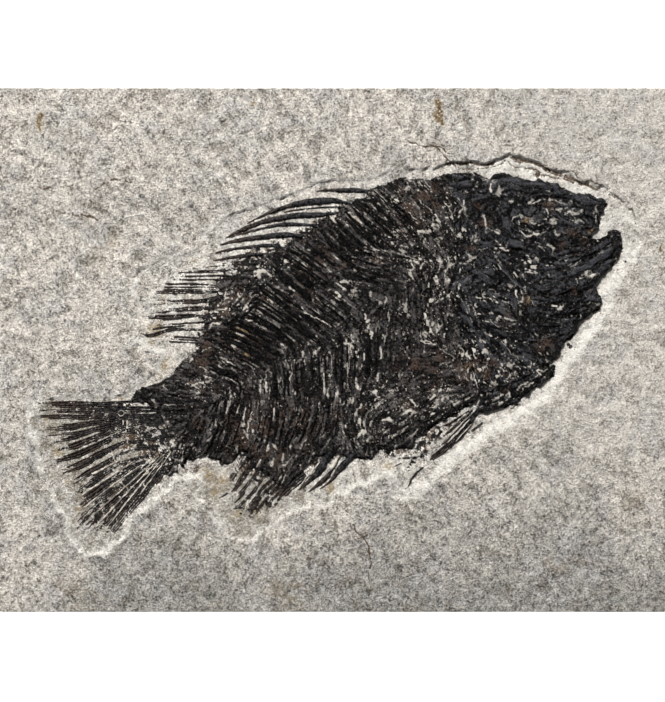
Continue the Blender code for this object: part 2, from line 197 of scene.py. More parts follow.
# Where the head's plates and sheen take over from the trunk's.
HEAD_REGION = [
    (450, 172), (500, 170), (600, 190), (630, 240), (610, 310), (560, 372), (500, 412), (478, 412),
    (470, 380), (458, 330), (452, 290), (455, 240), (450, 200),
]

# Which way the fibres of the body lie: (column, row, degrees clockwise from rightwards).
GRAIN = [
    (310, 235, 47), (335, 232, 50), (350, 222, 46), (380, 205, 45), (395, 210, 38), (411, 216, 60),
    (430, 210, 55), (305, 262, 34), (290, 300, 36), (345, 250, 46), (370, 235, 47), (392, 232, 45),
    (275, 275, 42), (225, 352, 27), (245, 345, 25), (230, 365, 27), (212, 372, 22), (190, 392, 10),
    (170, 400, 6), (262, 330, 27), (285, 330, 38), (310, 310, 36), (330, 325, 33), (360, 252, 8),
    (380, 270, 12), (360, 282, 14), (410, 257, 14), (350, 300, 38), (320, 335, 38), (340, 300, 36),
    (358, 325, 62), (375, 318, 140), (390, 322, 92), (388, 345, 92), (350, 360, 91), (325, 370, 88),
    (302, 365, 88), (278, 390, 89), (262, 400, 94), (240, 410, 104), (215, 425, 112),
    (200, 440, 118), (178, 452, 130), (350, 420, 92), (302, 440, 115), (272, 445, 96),
    (380, 360, 92), (405, 325, 96), (402, 355, 100), (425, 358, 2), (420, 400, 150), (380, 400, 146),
    (400, 420, 150), (450, 390, 165), (440, 410, 148), (446, 280, 108), (438, 315, 80),
    (420, 300, 92), (436, 236, 60), (145, 402, 12), (140, 430, 168), (165, 430, 170),
    (285, 462, 120), (255, 458, 120), (330, 450, 125), (360, 440, 60), (430, 440, 140),
    (240, 300, 120), (220, 325, 5), (250, 275, 5),
    (480, 180, 178), (510, 190, 172), (545, 190, 10), (580, 198, 12), (500, 206, 150),
    (533, 205, 150), (470, 220, 95), (487, 225, 70), (515, 222, 60), (550, 230, 148), (580, 215, 10),
    (590, 225, 60), (575, 240, 30), (520, 240, 5), (500, 245, 25), (545, 245, 60), (560, 262, 4),
    (550, 278, 160), (500, 270, 42), (520, 283, 45), (480, 262, 150), (476, 285, 155),
    (462, 300, 68), (470, 320, 45), (490, 318, 22), (505, 325, 10), (520, 308, 92), (545, 315, 3),
    (550, 330, 165), (535, 332, 60), (500, 300, 15), (508, 348, 55), (520, 362, 40), (485, 350, 60),
    (480, 375, 100), (500, 370, 70), (530, 350, 10), (545, 360, 60), (600, 258, 138),
    (585, 278, 150), (612, 245, 145), (585, 300, 150), (575, 325, 120), (520, 385, 153),
    (500, 397, 152), (545, 370, 150),
]

# Rows of long bones that follow the grain: centres as (column, row), spacing, half length, width.
BONE_ROWS = [
    ([(232, 350), (262, 318), (292, 286), (320, 262), (350, 238), (378, 218), (402, 208)], 5.4, 30, 3.4),
    ([(217, 372), (250, 362), (282, 342), (312, 322), (340, 306)], 6.2, 20, 3.0),
    ([(352, 248), (362, 262), (366, 272), (366, 284)], 8.0, 24, 3.4),
    ([(200, 420), (225, 404), (250, 396), (280, 384), (310, 372), (338, 366), (364, 356), (392, 348)],
     6.6, 28, 2.6),
    ([(212, 440), (240, 432), (270, 430), (305, 424), (340, 420)], 6.6, 22, 2.2),
]
# Raised edges of single bones on the head, as (column, row, width).
HEAD_BONES = [
    [(500, 180, 5), (520, 181, 9), (540, 184, 9), (556, 188, 5)],
    [(505, 188, 3), (522, 189, 6), (556, 194, 2)], [(566, 196, 3), (580, 199, 6), (603, 204, 2)],
    [(552, 214, 2), (566, 222, 4), (582, 228, 4), (592, 226, 2)],
    [(532, 246, 2), (548, 241, 4), (566, 238, 4), (580, 232, 2)],
    [(540, 258, 2), (560, 254, 4), (576, 248, 4), (586, 243, 2)],
    [(536, 270, 2), (556, 268, 4), (590, 252, 4), (606, 242, 5), (616, 238, 3)],
    [(552, 282, 2), (572, 274, 5), (590, 264, 6), (606, 254, 7), (618, 243, 4)],
    [(560, 292, 2), (574, 287, 4), (588, 280, 5), (602, 270, 5), (612, 260, 2)],
    [(530, 298, 2), (550, 300, 5), (592, 299, 5), (599, 301, 2)],
    [(534, 312, 2), (552, 313, 4), (572, 311, 5), (590, 308, 3)],
    [(536, 324, 2), (554, 324, 5), (572, 320, 5), (582, 317, 2)],
    [(542, 338, 2), (556, 336, 4), (570, 330, 4), (576, 326, 2)],
    [(462, 264, 3), (478, 274, 7), (492, 284, 8), (516, 302, 3)],
    [(484, 256, 2), (498, 266, 4), (512, 278, 4), (524, 291, 2)],
    [(470, 246, 3), (482, 244, 7), (494, 246, 4)],
    [(474, 300, 3), (486, 306, 7), (500, 311, 6), (512, 318, 2)],
    [(466, 318, 2), (474, 330, 4), (486, 340, 3), (494, 352, 2)],
    [(458, 346, 2), (457, 360, 4), (460, 374, 2)],
    [(482, 326, 2), (500, 333, 5), (520, 338, 5), (538, 341, 2)],
    [(500, 342, 2), (508, 354, 4), (520, 364, 4), (528, 369, 2)],
    [(514, 344, 2), (526, 354, 5), (540, 362, 4), (548, 364, 2)],
    [(484, 391, 3), (500, 387, 5), (530, 374, 2)], [(520, 401, 3), (540, 386, 5), (548, 376, 3)],
    [(470, 222, 5), (478, 214, 4), (484, 205, 3)], [(500, 214, 3), (506, 224, 5), (512, 236, 3)],
    [(540, 204, 3), (556, 206, 5), (572, 206, 3)],
]

# Places rich in pale specks of stone, and places stained brown: (column, row, reach).
SPECKLED = [
    (446, 262, 18), (444, 222, 14), (450, 205, 10), (428, 266, 14), (418, 262, 9), (437, 300, 14),
    (432, 330, 13), (380, 400, 22), (408, 405, 18), (440, 395, 18), (366, 434, 11), (430, 412, 14),
    (352, 345, 14), (365, 330, 12), (335, 218, 9), (265, 274, 14), (232, 300, 16), (225, 315, 12),
    (198, 388, 12), (410, 275, 8), (404, 310, 8), (390, 425, 14), (420, 445, 12), (345, 430, 9),
    (325, 375, 9), (250, 428, 12), (170, 450, 16), (285, 262, 10), (238, 330, 10), (150, 425, 12),
    (250, 316, 20), (272, 305, 14), (232, 345, 12), (425, 225, 16), (400, 240, 14), (395, 205, 12),
    (460, 205, 10), (462, 232, 9), (530, 232, 16), (575, 212, 12), (500, 245, 10), (530, 265, 14),
    (500, 300, 12), (478, 350, 14), (475, 372, 16), (500, 372, 20), (535, 366, 12), (556, 308, 8),
    (545, 258, 12), (480, 298, 9), (545, 365, 9), (510, 340, 12), (460, 290, 7), (478, 188, 7),
    (530, 390, 10), (500, 398, 10), (462, 355, 9),
]
BROWN = [
    (412, 205, 26), (430, 200, 18), (232, 305, 24), (246, 338, 22), (212, 346, 12), (255, 432, 34),
    (292, 425, 26), (275, 458, 16), (410, 368, 16), (436, 362, 14), (320, 262, 16), (345, 265, 10),
    (300, 296, 16), (205, 362, 12), (208, 388, 10), (410, 405, 12), (438, 388, 14), (376, 262, 8),
    (262, 300, 16), (150, 430, 14), (360, 408, 8), (400, 228, 6), (330, 410, 14), (200, 425, 10),
    (588, 238, 10), (572, 234, 8), (565, 245, 8), (468, 370, 16), (492, 372, 14), (507, 318, 8),
    (478, 205, 5), (526, 300, 6), (545, 345, 10), (485, 225, 8), (575, 285, 10), (470, 250, 6),
    (500, 382, 12), (548, 205, 8), (586, 300, 9),
]
TAN_PATCHES = [
    (471, 370, 8), (528, 221, 6), (527, 299, 4), (242, 328, 8), (247, 353, 6), (212, 292, 9),
    (154, 436, 6), (190, 385, 5), (226, 335, 6), (356, 219, 3), (403, 230, 4), (592, 232, 4),
]

# Stone left in seams on the bones, as (column, row, width).
PALE_LINES = [
    [(370, 203, 1), (378, 210, 1.4), (387, 220, 1)], [(408, 211, 1), (415, 221, 1)],
    [(349, 213, 2.4), (354, 216, 3.4), (357, 219, 2)], [(352, 247, 1.2), (358, 252, 1)],
    [(326, 232, 0.8), (333, 239, 1.2), (339, 247, 1)],
    [(296, 260, 1), (304, 266, 1.8), (314, 272, 1.4)],
    [(398, 228, 1.4), (404, 230, 2.4), (408, 232, 1)],
    [(411, 262, 2), (415, 268, 2.2), (411, 273, 2)],
    [(389, 316, 1.2), (389, 322, 1.6), (387, 330, 1)],
    [(407, 300, 2), (406, 310, 3.4), (409, 319, 2)],
    [(290, 301, 0.8), (305, 313, 1), (315, 317, 1), (331, 326, 0.8)],
    [(450, 294, 1.6), (438, 302, 2.4), (439, 296, 1.6), (443, 290, 1.2)],
    [(448, 263, 1.6), (444, 278, 1.4)], [(434, 239, 2), (440, 237, 2), (443, 240, 2.4)],
    [(432, 220, 1), (434, 226, 1.6), (440, 231, 1.2)],
    [(426, 206, 0.8), (434, 214, 1), (440, 222, 0.8)],
    [(223, 361, 1), (230, 363, 1.6), (237, 368, 1)],
    [(200, 367, 0.8), (228, 378, 1.4), (237, 384, 0.8)],
    [(172, 392, 0.8), (185, 393, 1.4), (200, 398, 0.8)], [(307, 438, 1.4), (301, 447, 1.4)],
    [(327, 350, 0.8), (324, 375, 1.2), (325, 396, 0.8)],
    [(330, 352, 0.8), (332, 372, 1), (329, 390, 0.8)],
    [(358, 437, 2), (362, 430, 2.6), (361, 427, 1.4)],
    [(364, 440, 2), (371, 436, 3.4), (366, 437, 2.4)], [(465, 406, 3), (471, 405, 4), (476, 402, 2)],
    [(240, 317, 1.2), (248, 316, 2), (250, 318, 1)], [(257, 276, 2), (258, 271, 2.6), (259, 278, 3)],
    [(281, 277, 1), (285, 279, 1.6), (289, 283, 1)],
    [(156, 412, 1.4), (158, 420, 1.6), (163, 424, 1.2)], [(478, 182, 1.6), (472, 190, 2.4)],
    [(496, 179, 1.4), (490, 183, 1.4), (489, 187, 2), (491, 192, 1.6)],
    [(500, 196, 1), (501, 202, 2.4), (499, 208, 2), (496, 211, 2.2)],
    [(527, 209, 1.2), (539, 200, 1.6)], [(464, 200, 1.4), (464, 206, 2.2), (460, 213, 1.4)],
    [(512, 223, 1), (512, 219, 1.4), (515, 216.5, 1.2), (518, 216, 1)],
    [(523, 217, 3), (529, 218, 5), (533, 225, 4.4), (529, 224, 3)],
    [(523, 229, 1.6), (529, 230, 1.6), (531, 233, 1.4)],
    [(520, 231, 1.4), (524, 235, 1.8), (529, 235, 1.4)],
    [(537, 232, 2.4), (540, 235, 2.2), (547, 231, 1.4), (553, 226, 2)],
    [(545, 209, 1.2), (548, 212, 1.6), (548, 217, 1.4)],
    [(565, 215, 1), (569, 212, 1.2), (574, 216, 1)], [(575, 215, 1), (580, 210, 1.4), (583, 214, 1)],
    [(463, 226, 1.6), (461, 233, 1.8), (462, 240, 1.6)],
    [(572, 270, 0.8), (576, 264, 1.2), (580, 260, 1.4)], [(554, 313, 2), (564, 304, 2)],
    [(533, 328, 1), (535, 333, 1.2), (538, 337, 1.2)], [(459, 296, 1), (471, 320, 0.8)],
    [(463, 291, 1.2), (468, 290, 1), (475, 285, 1)],
    [(478, 293, 1.2), (482, 297, 1.8), (488, 298, 2)],
    [(499, 317, 3), (506, 318, 4.4), (514, 321, 2)], [(482, 320, 0.8), (507, 328, 1.4)],
    [(518, 303, 1.2), (520, 311, 2.6), (519.5, 319, 1.2)],
    [(501, 338, 1), (503, 343, 1.2), (515, 360, 1.2), (526, 367, 1.4)],
    [(587, 278, 3), (592, 276, 5), (597, 274, 3)],
    [(579, 278, 2.4), (584, 275, 4), (590, 272.5, 2.4)],
    [(506, 396, 1.6), (508, 391, 1.6), (510, 397, 1.6)],
    [(516, 390, 1.6), (522, 385, 2), (547, 369, 1.6)],
    [(522, 391, 1), (527, 386, 1.4), (535, 382, 1.2)],
]

# Short straight seams, as (column, row, column, row, width).
PALE_DASHES = [
    (391, 230, 400, 239, 1), (389, 212, 404, 222, 0.9), (358, 219, 361, 224, 2.2),
    (347, 222, 363, 236, 1), (331, 219, 337, 222, 4.5), (364, 247, 370, 249, 1.2),
    (373, 248, 379, 250, 1.4), (350, 257, 357, 257, 1.3), (360, 250, 372, 252, 0.9),
    (303, 259, 310, 263, 1.2), (341, 281, 347, 282, 2.6), (403, 255, 419, 260, 1),
    (419, 232, 426, 232, 2.5), (409, 273, 414, 279, 2.2), (420, 268, 424, 263, 2),
    (371, 313, 378, 309, 1.9), (365, 314, 365, 318, 2.6), (408, 326, 403, 350, 1.8),
    (412, 329, 414, 338, 1.7), (346, 343, 351, 346, 2.7), (354, 334, 352, 345, 1.4),
    (371, 332, 371, 338, 1.8), (386, 338, 384, 345, 1.4), (336, 292, 340, 297, 2.3),
    (328, 287, 330, 291, 3), (313, 285, 317, 292, 1.8), (301, 308, 305, 312, 1.8),
    (437, 277, 436, 283, 3), (433, 290, 435, 300, 1.8), (426, 313, 428, 325, 2.5),
    (438, 320, 439, 330, 1.8), (424, 333, 426, 340, 3), (420, 341, 431, 343, 1.2),
    (266, 382, 267, 391, 2.1), (259, 385, 259, 392, 1.3), (223, 396, 229, 394, 1),
    (205, 383, 212, 382, 1.7), (206, 387, 211, 390, 1.2), (187, 383, 196, 387, 2),
    (252, 412, 248, 425, 1.3), (264, 413, 261, 420, 1.4), (239, 405, 237, 413, 1.2),
    (269, 443, 267, 450, 1.5), (276, 438, 275, 448, 1.7), (316, 352, 321, 348, 1.8),
    (303, 351, 301, 366, 1.5), (323, 356, 322, 380, 0.9), (319, 401, 319, 410, 1.3),
    (292, 364, 290, 386, 1.1), (277, 384, 276, 402, 1), (243, 429, 248, 438, 1.8),
    (237, 447, 239, 457, 1.7), (200, 449, 197, 458, 1.1), (184, 450, 182, 461, 1.4),
    (347, 399, 346, 413, 1.2), (341, 424, 345, 433, 3.4), (342, 384, 347, 388, 3),
    (356, 378, 358, 388, 2.9), (384, 402, 372, 406, 2.6), (378, 398, 385, 393, 1.4),
    (401, 404, 405, 411, 2.5), (412, 401, 415, 406, 1.9), (384, 420, 392, 420, 2.4),
    (454, 404, 459, 401, 2.3), (434, 428, 441, 424, 2), (352, 335, 350, 350, 1.1),
    (440, 424, 450, 418, 1.2), (232, 449, 227, 446, 1.2), (115, 412, 121, 409, 1),
    (160, 443, 154, 448, 1.6), (178, 443, 173, 449, 1.1), (206, 330, 216, 323, 1.6),
    (200, 352, 212, 348, 1.4), (517, 206, 523, 205, 1.7), (456, 208, 452, 215, 1.3),
    (542, 238, 561, 225, 1), (550, 220, 551, 226, 0.9), (539, 243, 544, 252, 1.9),
    (496, 230, 499, 232, 4), (484, 220, 486, 228, 2), (513, 231, 514, 237, 0.9),
    (530, 189, 536, 190, 0.9), (520, 197, 527, 193, 1.1), (533, 193, 538, 198, 1.1),
    (522, 184, 529, 183, 0.8), (455, 232, 455, 240, 1.2), (572, 212, 577, 218, 1.1),
    (560, 231, 566, 234, 0.8), (556, 222, 562, 220, 0.8), (545, 275, 552, 271, 0.9),
    (531, 282, 536, 287, 1.2), (557, 283, 570, 281, 0.7), (530, 304, 545, 305, 0.9),
    (548, 321, 560, 323, 0.8), (528, 258, 532, 262, 1), (566, 255, 575, 256, 0.7),
    (575, 298, 573, 304, 0.9), (569, 247, 573, 243, 1), (490, 261, 494, 268, 1),
    (495, 262, 501, 270, 0.9), (513, 272, 518, 278, 1.4), (503, 271, 521, 289, 1.1),
    (457, 283, 458, 290, 1.4), (465, 300, 469, 312, 0.9), (475, 312, 481, 314, 1.2),
    (508, 326, 516, 323, 1.1), (522, 342, 532, 341, 0.9), (531, 362, 530, 368, 1.7),
    (484, 391, 491, 391, 1.2), (480, 249, 486, 249, 1.3), (500, 248, 508, 251, 1.4),
    (511, 365, 516, 367, 2.7), (465, 340, 463, 347, 1.3), (484, 333, 496, 338, 1.5),
    (464, 362, 474, 358, 1.3), (481, 362, 488, 368, 1.2), (496, 377, 503, 374, 1.3),
    (484, 382, 492, 387, 1.4), (487, 357, 495, 352, 1), (523, 355, 530, 352, 0.9),
    (500, 281, 494, 282, 0.9), (486, 276, 490, 280, 1.2), (516, 291, 516, 300, 1.2),
    (509, 303, 514, 309, 1), (470, 330, 482, 331, 0.9), (590, 277, 595, 275, 4),
    (586, 284, 596, 276, 0.8), (605, 247, 612, 245, 0.9), (600, 260, 592, 268, 0.7),
    (575, 322, 582, 315, 0.9), (570, 330, 574, 325, 0.9), (491, 400, 503, 396, 2),
    (538, 370, 541, 375, 1.8),
]
PALE_LINES += [[(c0, r0, width), (c1, r1, width)] for c0, r0, c1, r1, width in PALE_DASHES]

# Dark seams between plates: first on the trunk, then on the head.
DARK_LINES = [
    [(350, 268, 1.6), (365, 270.5, 2), (385, 277, 3.4), (398, 276, 2)],
    [(340, 276, 1.4), (356, 278, 1.8), (367, 285, 1.4)],
    [(409, 283, 1.4), (409.5, 330, 1.8), (406, 345, 1.4), (401, 360, 1.4)],
    [(210, 347, 1), (225, 351.5, 1), (240, 360, 1.2), (262, 377, 1.6)],
    [(262, 341, 1), (270, 347, 1.2), (277, 355, 1)], [(240, 317.5, 1.6), (265, 322, 2.4)],
    [(353, 398, 2), (352, 425, 4), (354, 450, 4)], [(457, 345, 3), (456, 362, 3.4), (452, 378, 3)],
    [(385, 379, 1.6), (405, 378, 2.4), (445, 380, 2.4), (466, 386, 3)],
    [(398, 437, 3), (408, 433, 4.4), (417, 428, 3)], [(376, 432, 3), (384, 440, 3.4), (388, 450, 3)],
    [(364, 208, 1.4), (378, 222, 2), (392, 238, 1.6)], [(395, 205, 3), (404, 214, 3), (412, 224, 2)],
    [(340, 236, 1.2), (350, 248, 1.8), (357, 255, 1.2)], [(320, 245, 1), (338, 262, 1)],
    [(216, 452, 2.6), (224, 450, 3.4), (232, 447, 2)],
    [(186, 447, 2), (192, 452, 2.6), (190, 457, 2)],
    [(316, 300, 1.2), (330, 312, 1.6), (345, 322, 1.2)], [(340, 308, 1.6), (356, 321, 1.2)],
    [(306, 322, 3), (318, 330, 4), (330, 336, 2.4)],
    [(309, 345, 2), (312, 355, 2.6), (318, 362, 1.4)],
    [(200, 400, 1.6), (215, 402, 2.4), (230, 400, 1.6)],
    [(238, 372, 2), (250, 378, 2), (262, 380, 2)], [(236, 400, 1.2), (234, 415, 1.4), (228, 430, 1)],
    [(285, 385, 1.4), (284, 410, 1.4)], [(273, 400, 1.2), (272, 418, 1.4)],
    [(261, 398, 1), (259, 420, 1.2)], [(300, 348, 1), (301, 400, 1)],
    [(497, 175, 2), (530, 181, 2), (552, 184, 2)], [(488, 200, 3), (495, 206, 3)],
    [(500, 210, 1.4), (520, 203, 1.6), (540, 198, 1.4), (560, 197, 1)],
    [(545, 203, 2.4), (558, 206, 2)], [(466, 244, 2.4), (480, 246, 3), (488, 244, 2)],
    [(515, 228, 1.4), (520, 226, 1.2)], [(545, 234, 1), (555, 229, 1.2)],
    [(560, 256, 1.4), (575, 254, 2), (585, 250, 1.6)],
    [(533, 318, 3), (548, 322, 2.6), (565, 323, 2)], [(528, 306, 2.4), (550, 304, 2), (572, 300, 2)],
    [(488, 314, 1.4), (500, 330, 2), (520, 341, 2), (537, 343, 1.6)], [(490, 288, 3), (505, 292, 3)],
    [(480, 380, 2), (500, 388, 2), (515, 381, 2)], [(525, 292, 1.6), (540, 296, 2), (575, 291, 2)],
    [(500, 400, 2), (520, 397, 2.4), (540, 383, 2)],
    [(560, 330, 1.4), (548, 340, 1.4), (538, 342, 1)], [(524, 240, 1.4), (540, 240, 1.6)],
    [(500, 333, 1.4), (512, 352, 1.6), (526, 369, 1.2)],
]

# ---- Fins: (column, row, width) along each spine or ray, from its root to its tip
DORSAL_SPINES = [
    [(364, 191, 4), (355, 190.5, 6), (330, 190, 3), (317, 191, 1)],
    [(345, 202.5, 3), (335, 200.5, 5.6), (320, 201, 7.6), (305, 202.5, 7), (290, 205.5, 5),
     (268, 213, 3), (247, 223.5, 1)],
    [(342, 207, 1.4), (325, 207, 1.6), (295, 210, 2), (284, 212.5, 1.4)],
    [(331, 213.5, 3), (315, 215, 5.6), (295, 215.5, 6), (268, 220.5, 5), (255, 224.5, 4.6),
     (240, 230.5, 4), (225, 238.5, 1)],
    [(310, 225, 3), (290, 224, 4), (275, 225.5, 3.6), (240, 234, 2), (231, 237.5, 1)],
    [(297, 235.5, 4), (280, 235, 6), (240, 240, 4.4), (220, 244.5, 1)],
    [(284, 248, 2), (277, 246.5, 3), (265, 245.5, 4), (230, 249.5, 3), (215, 253, 1)],
    [(280, 254.5, 2), (262, 254, 3), (250, 255, 4), (235, 257, 4), (213, 260.5, 1)],
    [(252, 260.5, 1.4), (237, 261.5, 1.6), (222, 263.5, 1)],
]

SOFT_DORSAL_RAYS = [
    [(250, 263.5, 1.4), (192, 268, 1.4)],
    [(262, 268.5, 1.4), (238, 269, 1.8), (212, 271.5, 2.2), (178, 271.5, 1.6)],
    [(250, 277, 1.4), (220, 275.5, 1.8), (171, 276.5, 1.2)], [(212, 279.5, 1.2), (172, 279.5, 1.4)],
    [(212, 285, 1.4), (190, 283.5, 1.8), (175, 284, 1.8), (162, 283, 1.2)],
    [(210, 287, 1.2), (164, 287, 1.4)], [(217, 291, 1.6), (170, 291.5, 4), (156, 291.5, 2.4)],
    [(222, 295.5, 1.4), (200, 301, 2.6), (156, 300, 1.4)],
    [(222, 297.5, 1.2), (205, 302.5, 1.6), (154, 304, 1.4)],
    [(215, 309, 1.6), (200, 307.5, 2.6), (160, 309.5, 1.6)],
    [(200, 310, 1), (170, 311, 2), (152, 313.5, 1.6)],
    [(212, 317, 1.8), (190, 315.5, 3), (165, 317, 3.2), (142, 316.5, 1.6)],
    [(182, 318.5, 1), (150, 321, 1.4)], [(215, 321.5, 1.8), (157, 325, 1.6)],
    [(185, 325.5, 1), (160, 327.5, 1.8), (150, 330, 1.4)],
    [(200, 330, 1.8), (172, 329, 2.4), (149, 336, 2.4), (141, 333, 1.4)],
    [(200, 338, 1.8), (165, 336, 1.4)], [(200, 340.5, 1.4), (171, 339, 1.2)],
    [(190, 342.5, 1), (162, 341, 1.2)],
]

ANAL_SPINES = [
    [(348, 460.5, 6), (342, 466.5, 7), (332.5, 479, 3.6), (326, 485, 1.8), (320, 489, 1)],
    [(338, 459, 1.4), (333.5, 468, 2.2), (328, 475.5, 4), (321.5, 482, 4.8), (307, 493.5, 1)],
    [(326, 460, 8), (322, 467, 8.4), (316, 474.5, 6.4), (304, 486, 3.6), (297.5, 490.5, 1)],
]

ANAL_RAYS = [
    [(243, 463, 1.6), (236, 470, 2), (229, 479, 1.4)], [(240, 468, 1.4), (232, 480.5, 1)],
    [(250, 464.5, 1.6), (239, 480.5, 2), (235, 488.5, 1.6), (230.5, 493.5, 1)],
    [(227.5, 493, 1.8), (219, 499, 1)], [(248, 473, 1.6), (240.5, 483.5, 2), (235, 489.5, 1.4)],
    [(256, 474, 1.8), (243.5, 489.5, 2.4), (237, 496, 1.4)],
    [(244.5, 492, 1.8), (234.5, 503.5, 1.2)],
    [(263, 478.5, 2), (253.5, 492, 2.4), (239.5, 506, 1.8), (232.5, 510.5, 1)],
    [(241.5, 507, 1.6), (238, 510.5, 1)],
    [(274, 477.5, 2), (261, 489.5, 2.4), (257.5, 496, 2.4), (252, 502.5, 2.2), (249, 509, 1.6),
     (246.5, 511.5, 1)],
    [(273, 485.5, 1.8), (266, 491, 2.2), (254.5, 505, 2), (249.5, 512.5, 1)],
    [(277, 486.5, 1.8), (260.5, 506, 2), (251.5, 520, 1)],
    [(282, 489, 2), (269.5, 503.5, 2), (266, 509.5, 1)],
    [(283, 492, 1.6), (277, 502.5, 2), (271.5, 509.5, 1)], [(281, 469, 1.6), (274, 476, 1.4)],
    [(289, 489, 5), (284, 493, 5.4), (281, 497, 2)],
]

TAIL_RAYS = [
    [(132, 401.5, 1.6), (100, 403.5, 2), (70, 402.5, 2.2), (38, 403, 1)],
    [(144, 407.5, 1.6), (130, 408, 2.4), (70, 406, 2.8), (44, 406.5, 1)],
    [(152, 411, 1.6), (100, 411.5, 3), (70, 411, 2.6), (39, 411.5, 1)],
    [(156, 414.5, 1.6), (85, 417, 3.2), (55, 416.5, 2.6), (40, 417, 1.2)],
    [(158, 417, 1.2), (105, 421.5, 3.4), (46, 428, 1.2)],
    [(88, 425, 1.4), (70, 429, 2), (38, 431, 1)],
    [(159, 419.5, 1.2), (122, 424, 2.6), (105, 427, 3.6), (85, 432, 3), (70, 434.5, 2),
     (48, 435.5, 1.2)],
    [(92, 431, 1.6), (75, 437, 2.4), (46, 444.5, 1.2)],
    [(158.5, 422, 1.2), (148, 423, 1.6), (122, 428, 2.6), (108, 432.5, 3.4), (75, 445.5, 4),
     (58, 450, 2)],
    [(156, 425, 1.4), (145, 427, 1.8), (122, 433.5, 3), (80, 453.5, 4.2), (68, 457.5, 3.4),
     (56, 460, 1.6)],
    [(162, 436.5, 1.6), (148, 440, 2.2), (122, 443, 2.6), (100, 452, 2.4), (80, 462.5, 2.4),
     (61, 470.5, 1.2)],
    [(118, 447, 1.4), (80, 467, 2.4), (63, 474, 1.2)],
    [(152, 447, 1.8), (135, 449, 2.4), (120, 454, 2.4), (85, 473, 2.4), (74, 481, 1.4)],
    [(116, 459, 1.6), (100, 468, 2.4), (73.5, 485, 1.2)],
    [(148, 455.5, 1.8), (135, 459, 2.6), (120, 464.5, 3.2), (90, 482, 2.8), (76, 492, 1.4)],
    [(104, 476.5, 1.6), (92, 484.5, 2.6), (75, 495, 1.2)],
    [(145, 461, 1.8), (133, 466.5, 3.2), (100, 489, 6), (90, 496, 5.6), (80, 505, 2)],
    [(149, 464, 1.6), (127, 480, 4.2), (96, 503.5, 2.6), (77, 522, 1.2)],
    [(104, 500.5, 1.8), (95, 509, 2.8), (77, 529, 1.4)],
    [(157, 459.5, 1.2), (148, 469.5, 1.8), (125, 490.5, 4.4), (112, 503, 3.2), (86, 525, 1.4)],
    [(108, 509.5, 1.8), (88, 529, 1.4)],
    [(162, 458.5, 1.2), (132, 491.5, 4), (109, 519.5, 4.4), (97, 531, 1.8)],
    [(165, 460.5, 1.2), (155.5, 471, 2.2), (127, 506.5, 4.6), (103, 537, 1.4)],
    [(169, 460, 1.4), (144, 494, 4), (112.5, 532, 1)],
    [(163, 472, 3.4), (157, 480, 4), (151, 487, 2)],
]

# Thin ridges of pale stone that stand between the rays, from the trunk outwards.
STONE_RIDGES = [
    [(135, 460.5, 1.2), (82, 495, 1.2)], [(141, 465.5, 1.2), (115, 483.5, 1.6), (85, 507, 1.2)],
    [(159, 456, 1), (132, 481, 1.6), (94.5, 514, 1.2)],
    [(163, 455, 1), (130, 489.5, 1.6), (95.5, 527, 1.2)],
    [(164, 457, 1), (136.5, 490, 1.6), (106, 529, 1.2)], [(169.5, 454.5, 1), (140, 494.5, 1.6)],
    [(120, 460.5, 1.6), (92, 474.5, 2.6)],
    [(150, 468, 1.4), (146, 470, 1.6), (148, 473, 1.6), (143, 475, 1.4)],
    [(126, 486, 1.4), (129, 493, 1.4)], [(143, 483, 1.4), (146, 488, 1.4)],
    [(118, 412, 1), (121, 410.5, 1.2), (124, 412, 1), (123.5, 415, 1), (120, 416, 1.2),
     (118, 414, 1)],
    [(123, 420, 1.4), (123, 425, 1.2)], [(127, 420, 1.2), (127, 429, 2.6)],
    [(466, 414, 1.6), (443, 435, 1.6)], [(468, 417, 1), (442, 443, 1)],
    [(470, 419, 1), (448, 443, 1)], [(472, 424, 1), (456, 441, 1)],
    [(339, 455, 3), (335, 463, 4), (330, 470, 3)], [(319, 463, 1.2), (297, 490, 1.4)],
]

PELVIC_RODS = [
    [(478.5, 410.5, 4.6), (470.5, 420.5, 5.4), (465.5, 429, 5.6), (459.5, 436.5, 6), (443, 450.5, 6),
     (435.5, 456, 4.6), (430.5, 459.5, 1.4)],
    [(464.5, 414, 1.6), (455, 420.5, 2.2), (441, 427.5, 1)],
    [(468.5, 414.5, 1.6), (461, 423, 2), (443, 437, 1.4)],
    [(469.5, 417.5, 1.4), (446, 442, 1.6), (436, 448.5, 1.4)],
    [(424, 456, 1.8), (413, 458, 3), (399, 459, 1.6)], [(402, 463, 1.4), (392, 468, 1)],
    [(423, 467.5, 2), (416, 473.5, 2.2), (411, 480.5, 2), (409.5, 485, 1.6), (406, 489, 1)],
    [(483, 422.5, 1.4), (468.5, 433, 1.2)],
]

# Where dark broken film frays out from under the body between the fins' roots.
FRINGES = [
    [(132, 478, 8), (114, 498, 12), (100, 514, 12), (94, 522, 6)], [(130, 405, 5), (54, 405, 3)],
    [(250, 470, 8), (264, 474, 14), (274, 484, 12), (268, 494, 6)],
    [(352, 200, 5), (336, 210, 7), (318, 220, 9), (305, 231, 10), (290, 240, 12), (250, 261, 20),
     (232, 275, 22), (221, 292, 18), (212, 310, 16), (198, 345, 8)],
    [(240, 454, 12), (252, 468, 18), (266, 478, 20), (280, 485, 16), (294, 478, 14), (308, 466, 10),
     (330, 458, 5)],
    [(388, 454, 10), (404, 448, 12), (420, 440, 16), (436, 432, 14), (452, 424, 8), (470, 414, 5)],
    [(148, 404, 6), (155, 410, 9), (160, 420, 10), (162, 434, 12), (162, 450, 14), (166, 464, 10)],
    [(128, 430, 4), (140, 434, 8), (152, 440, 12), (156, 454, 10), (146, 458, 5)],
]

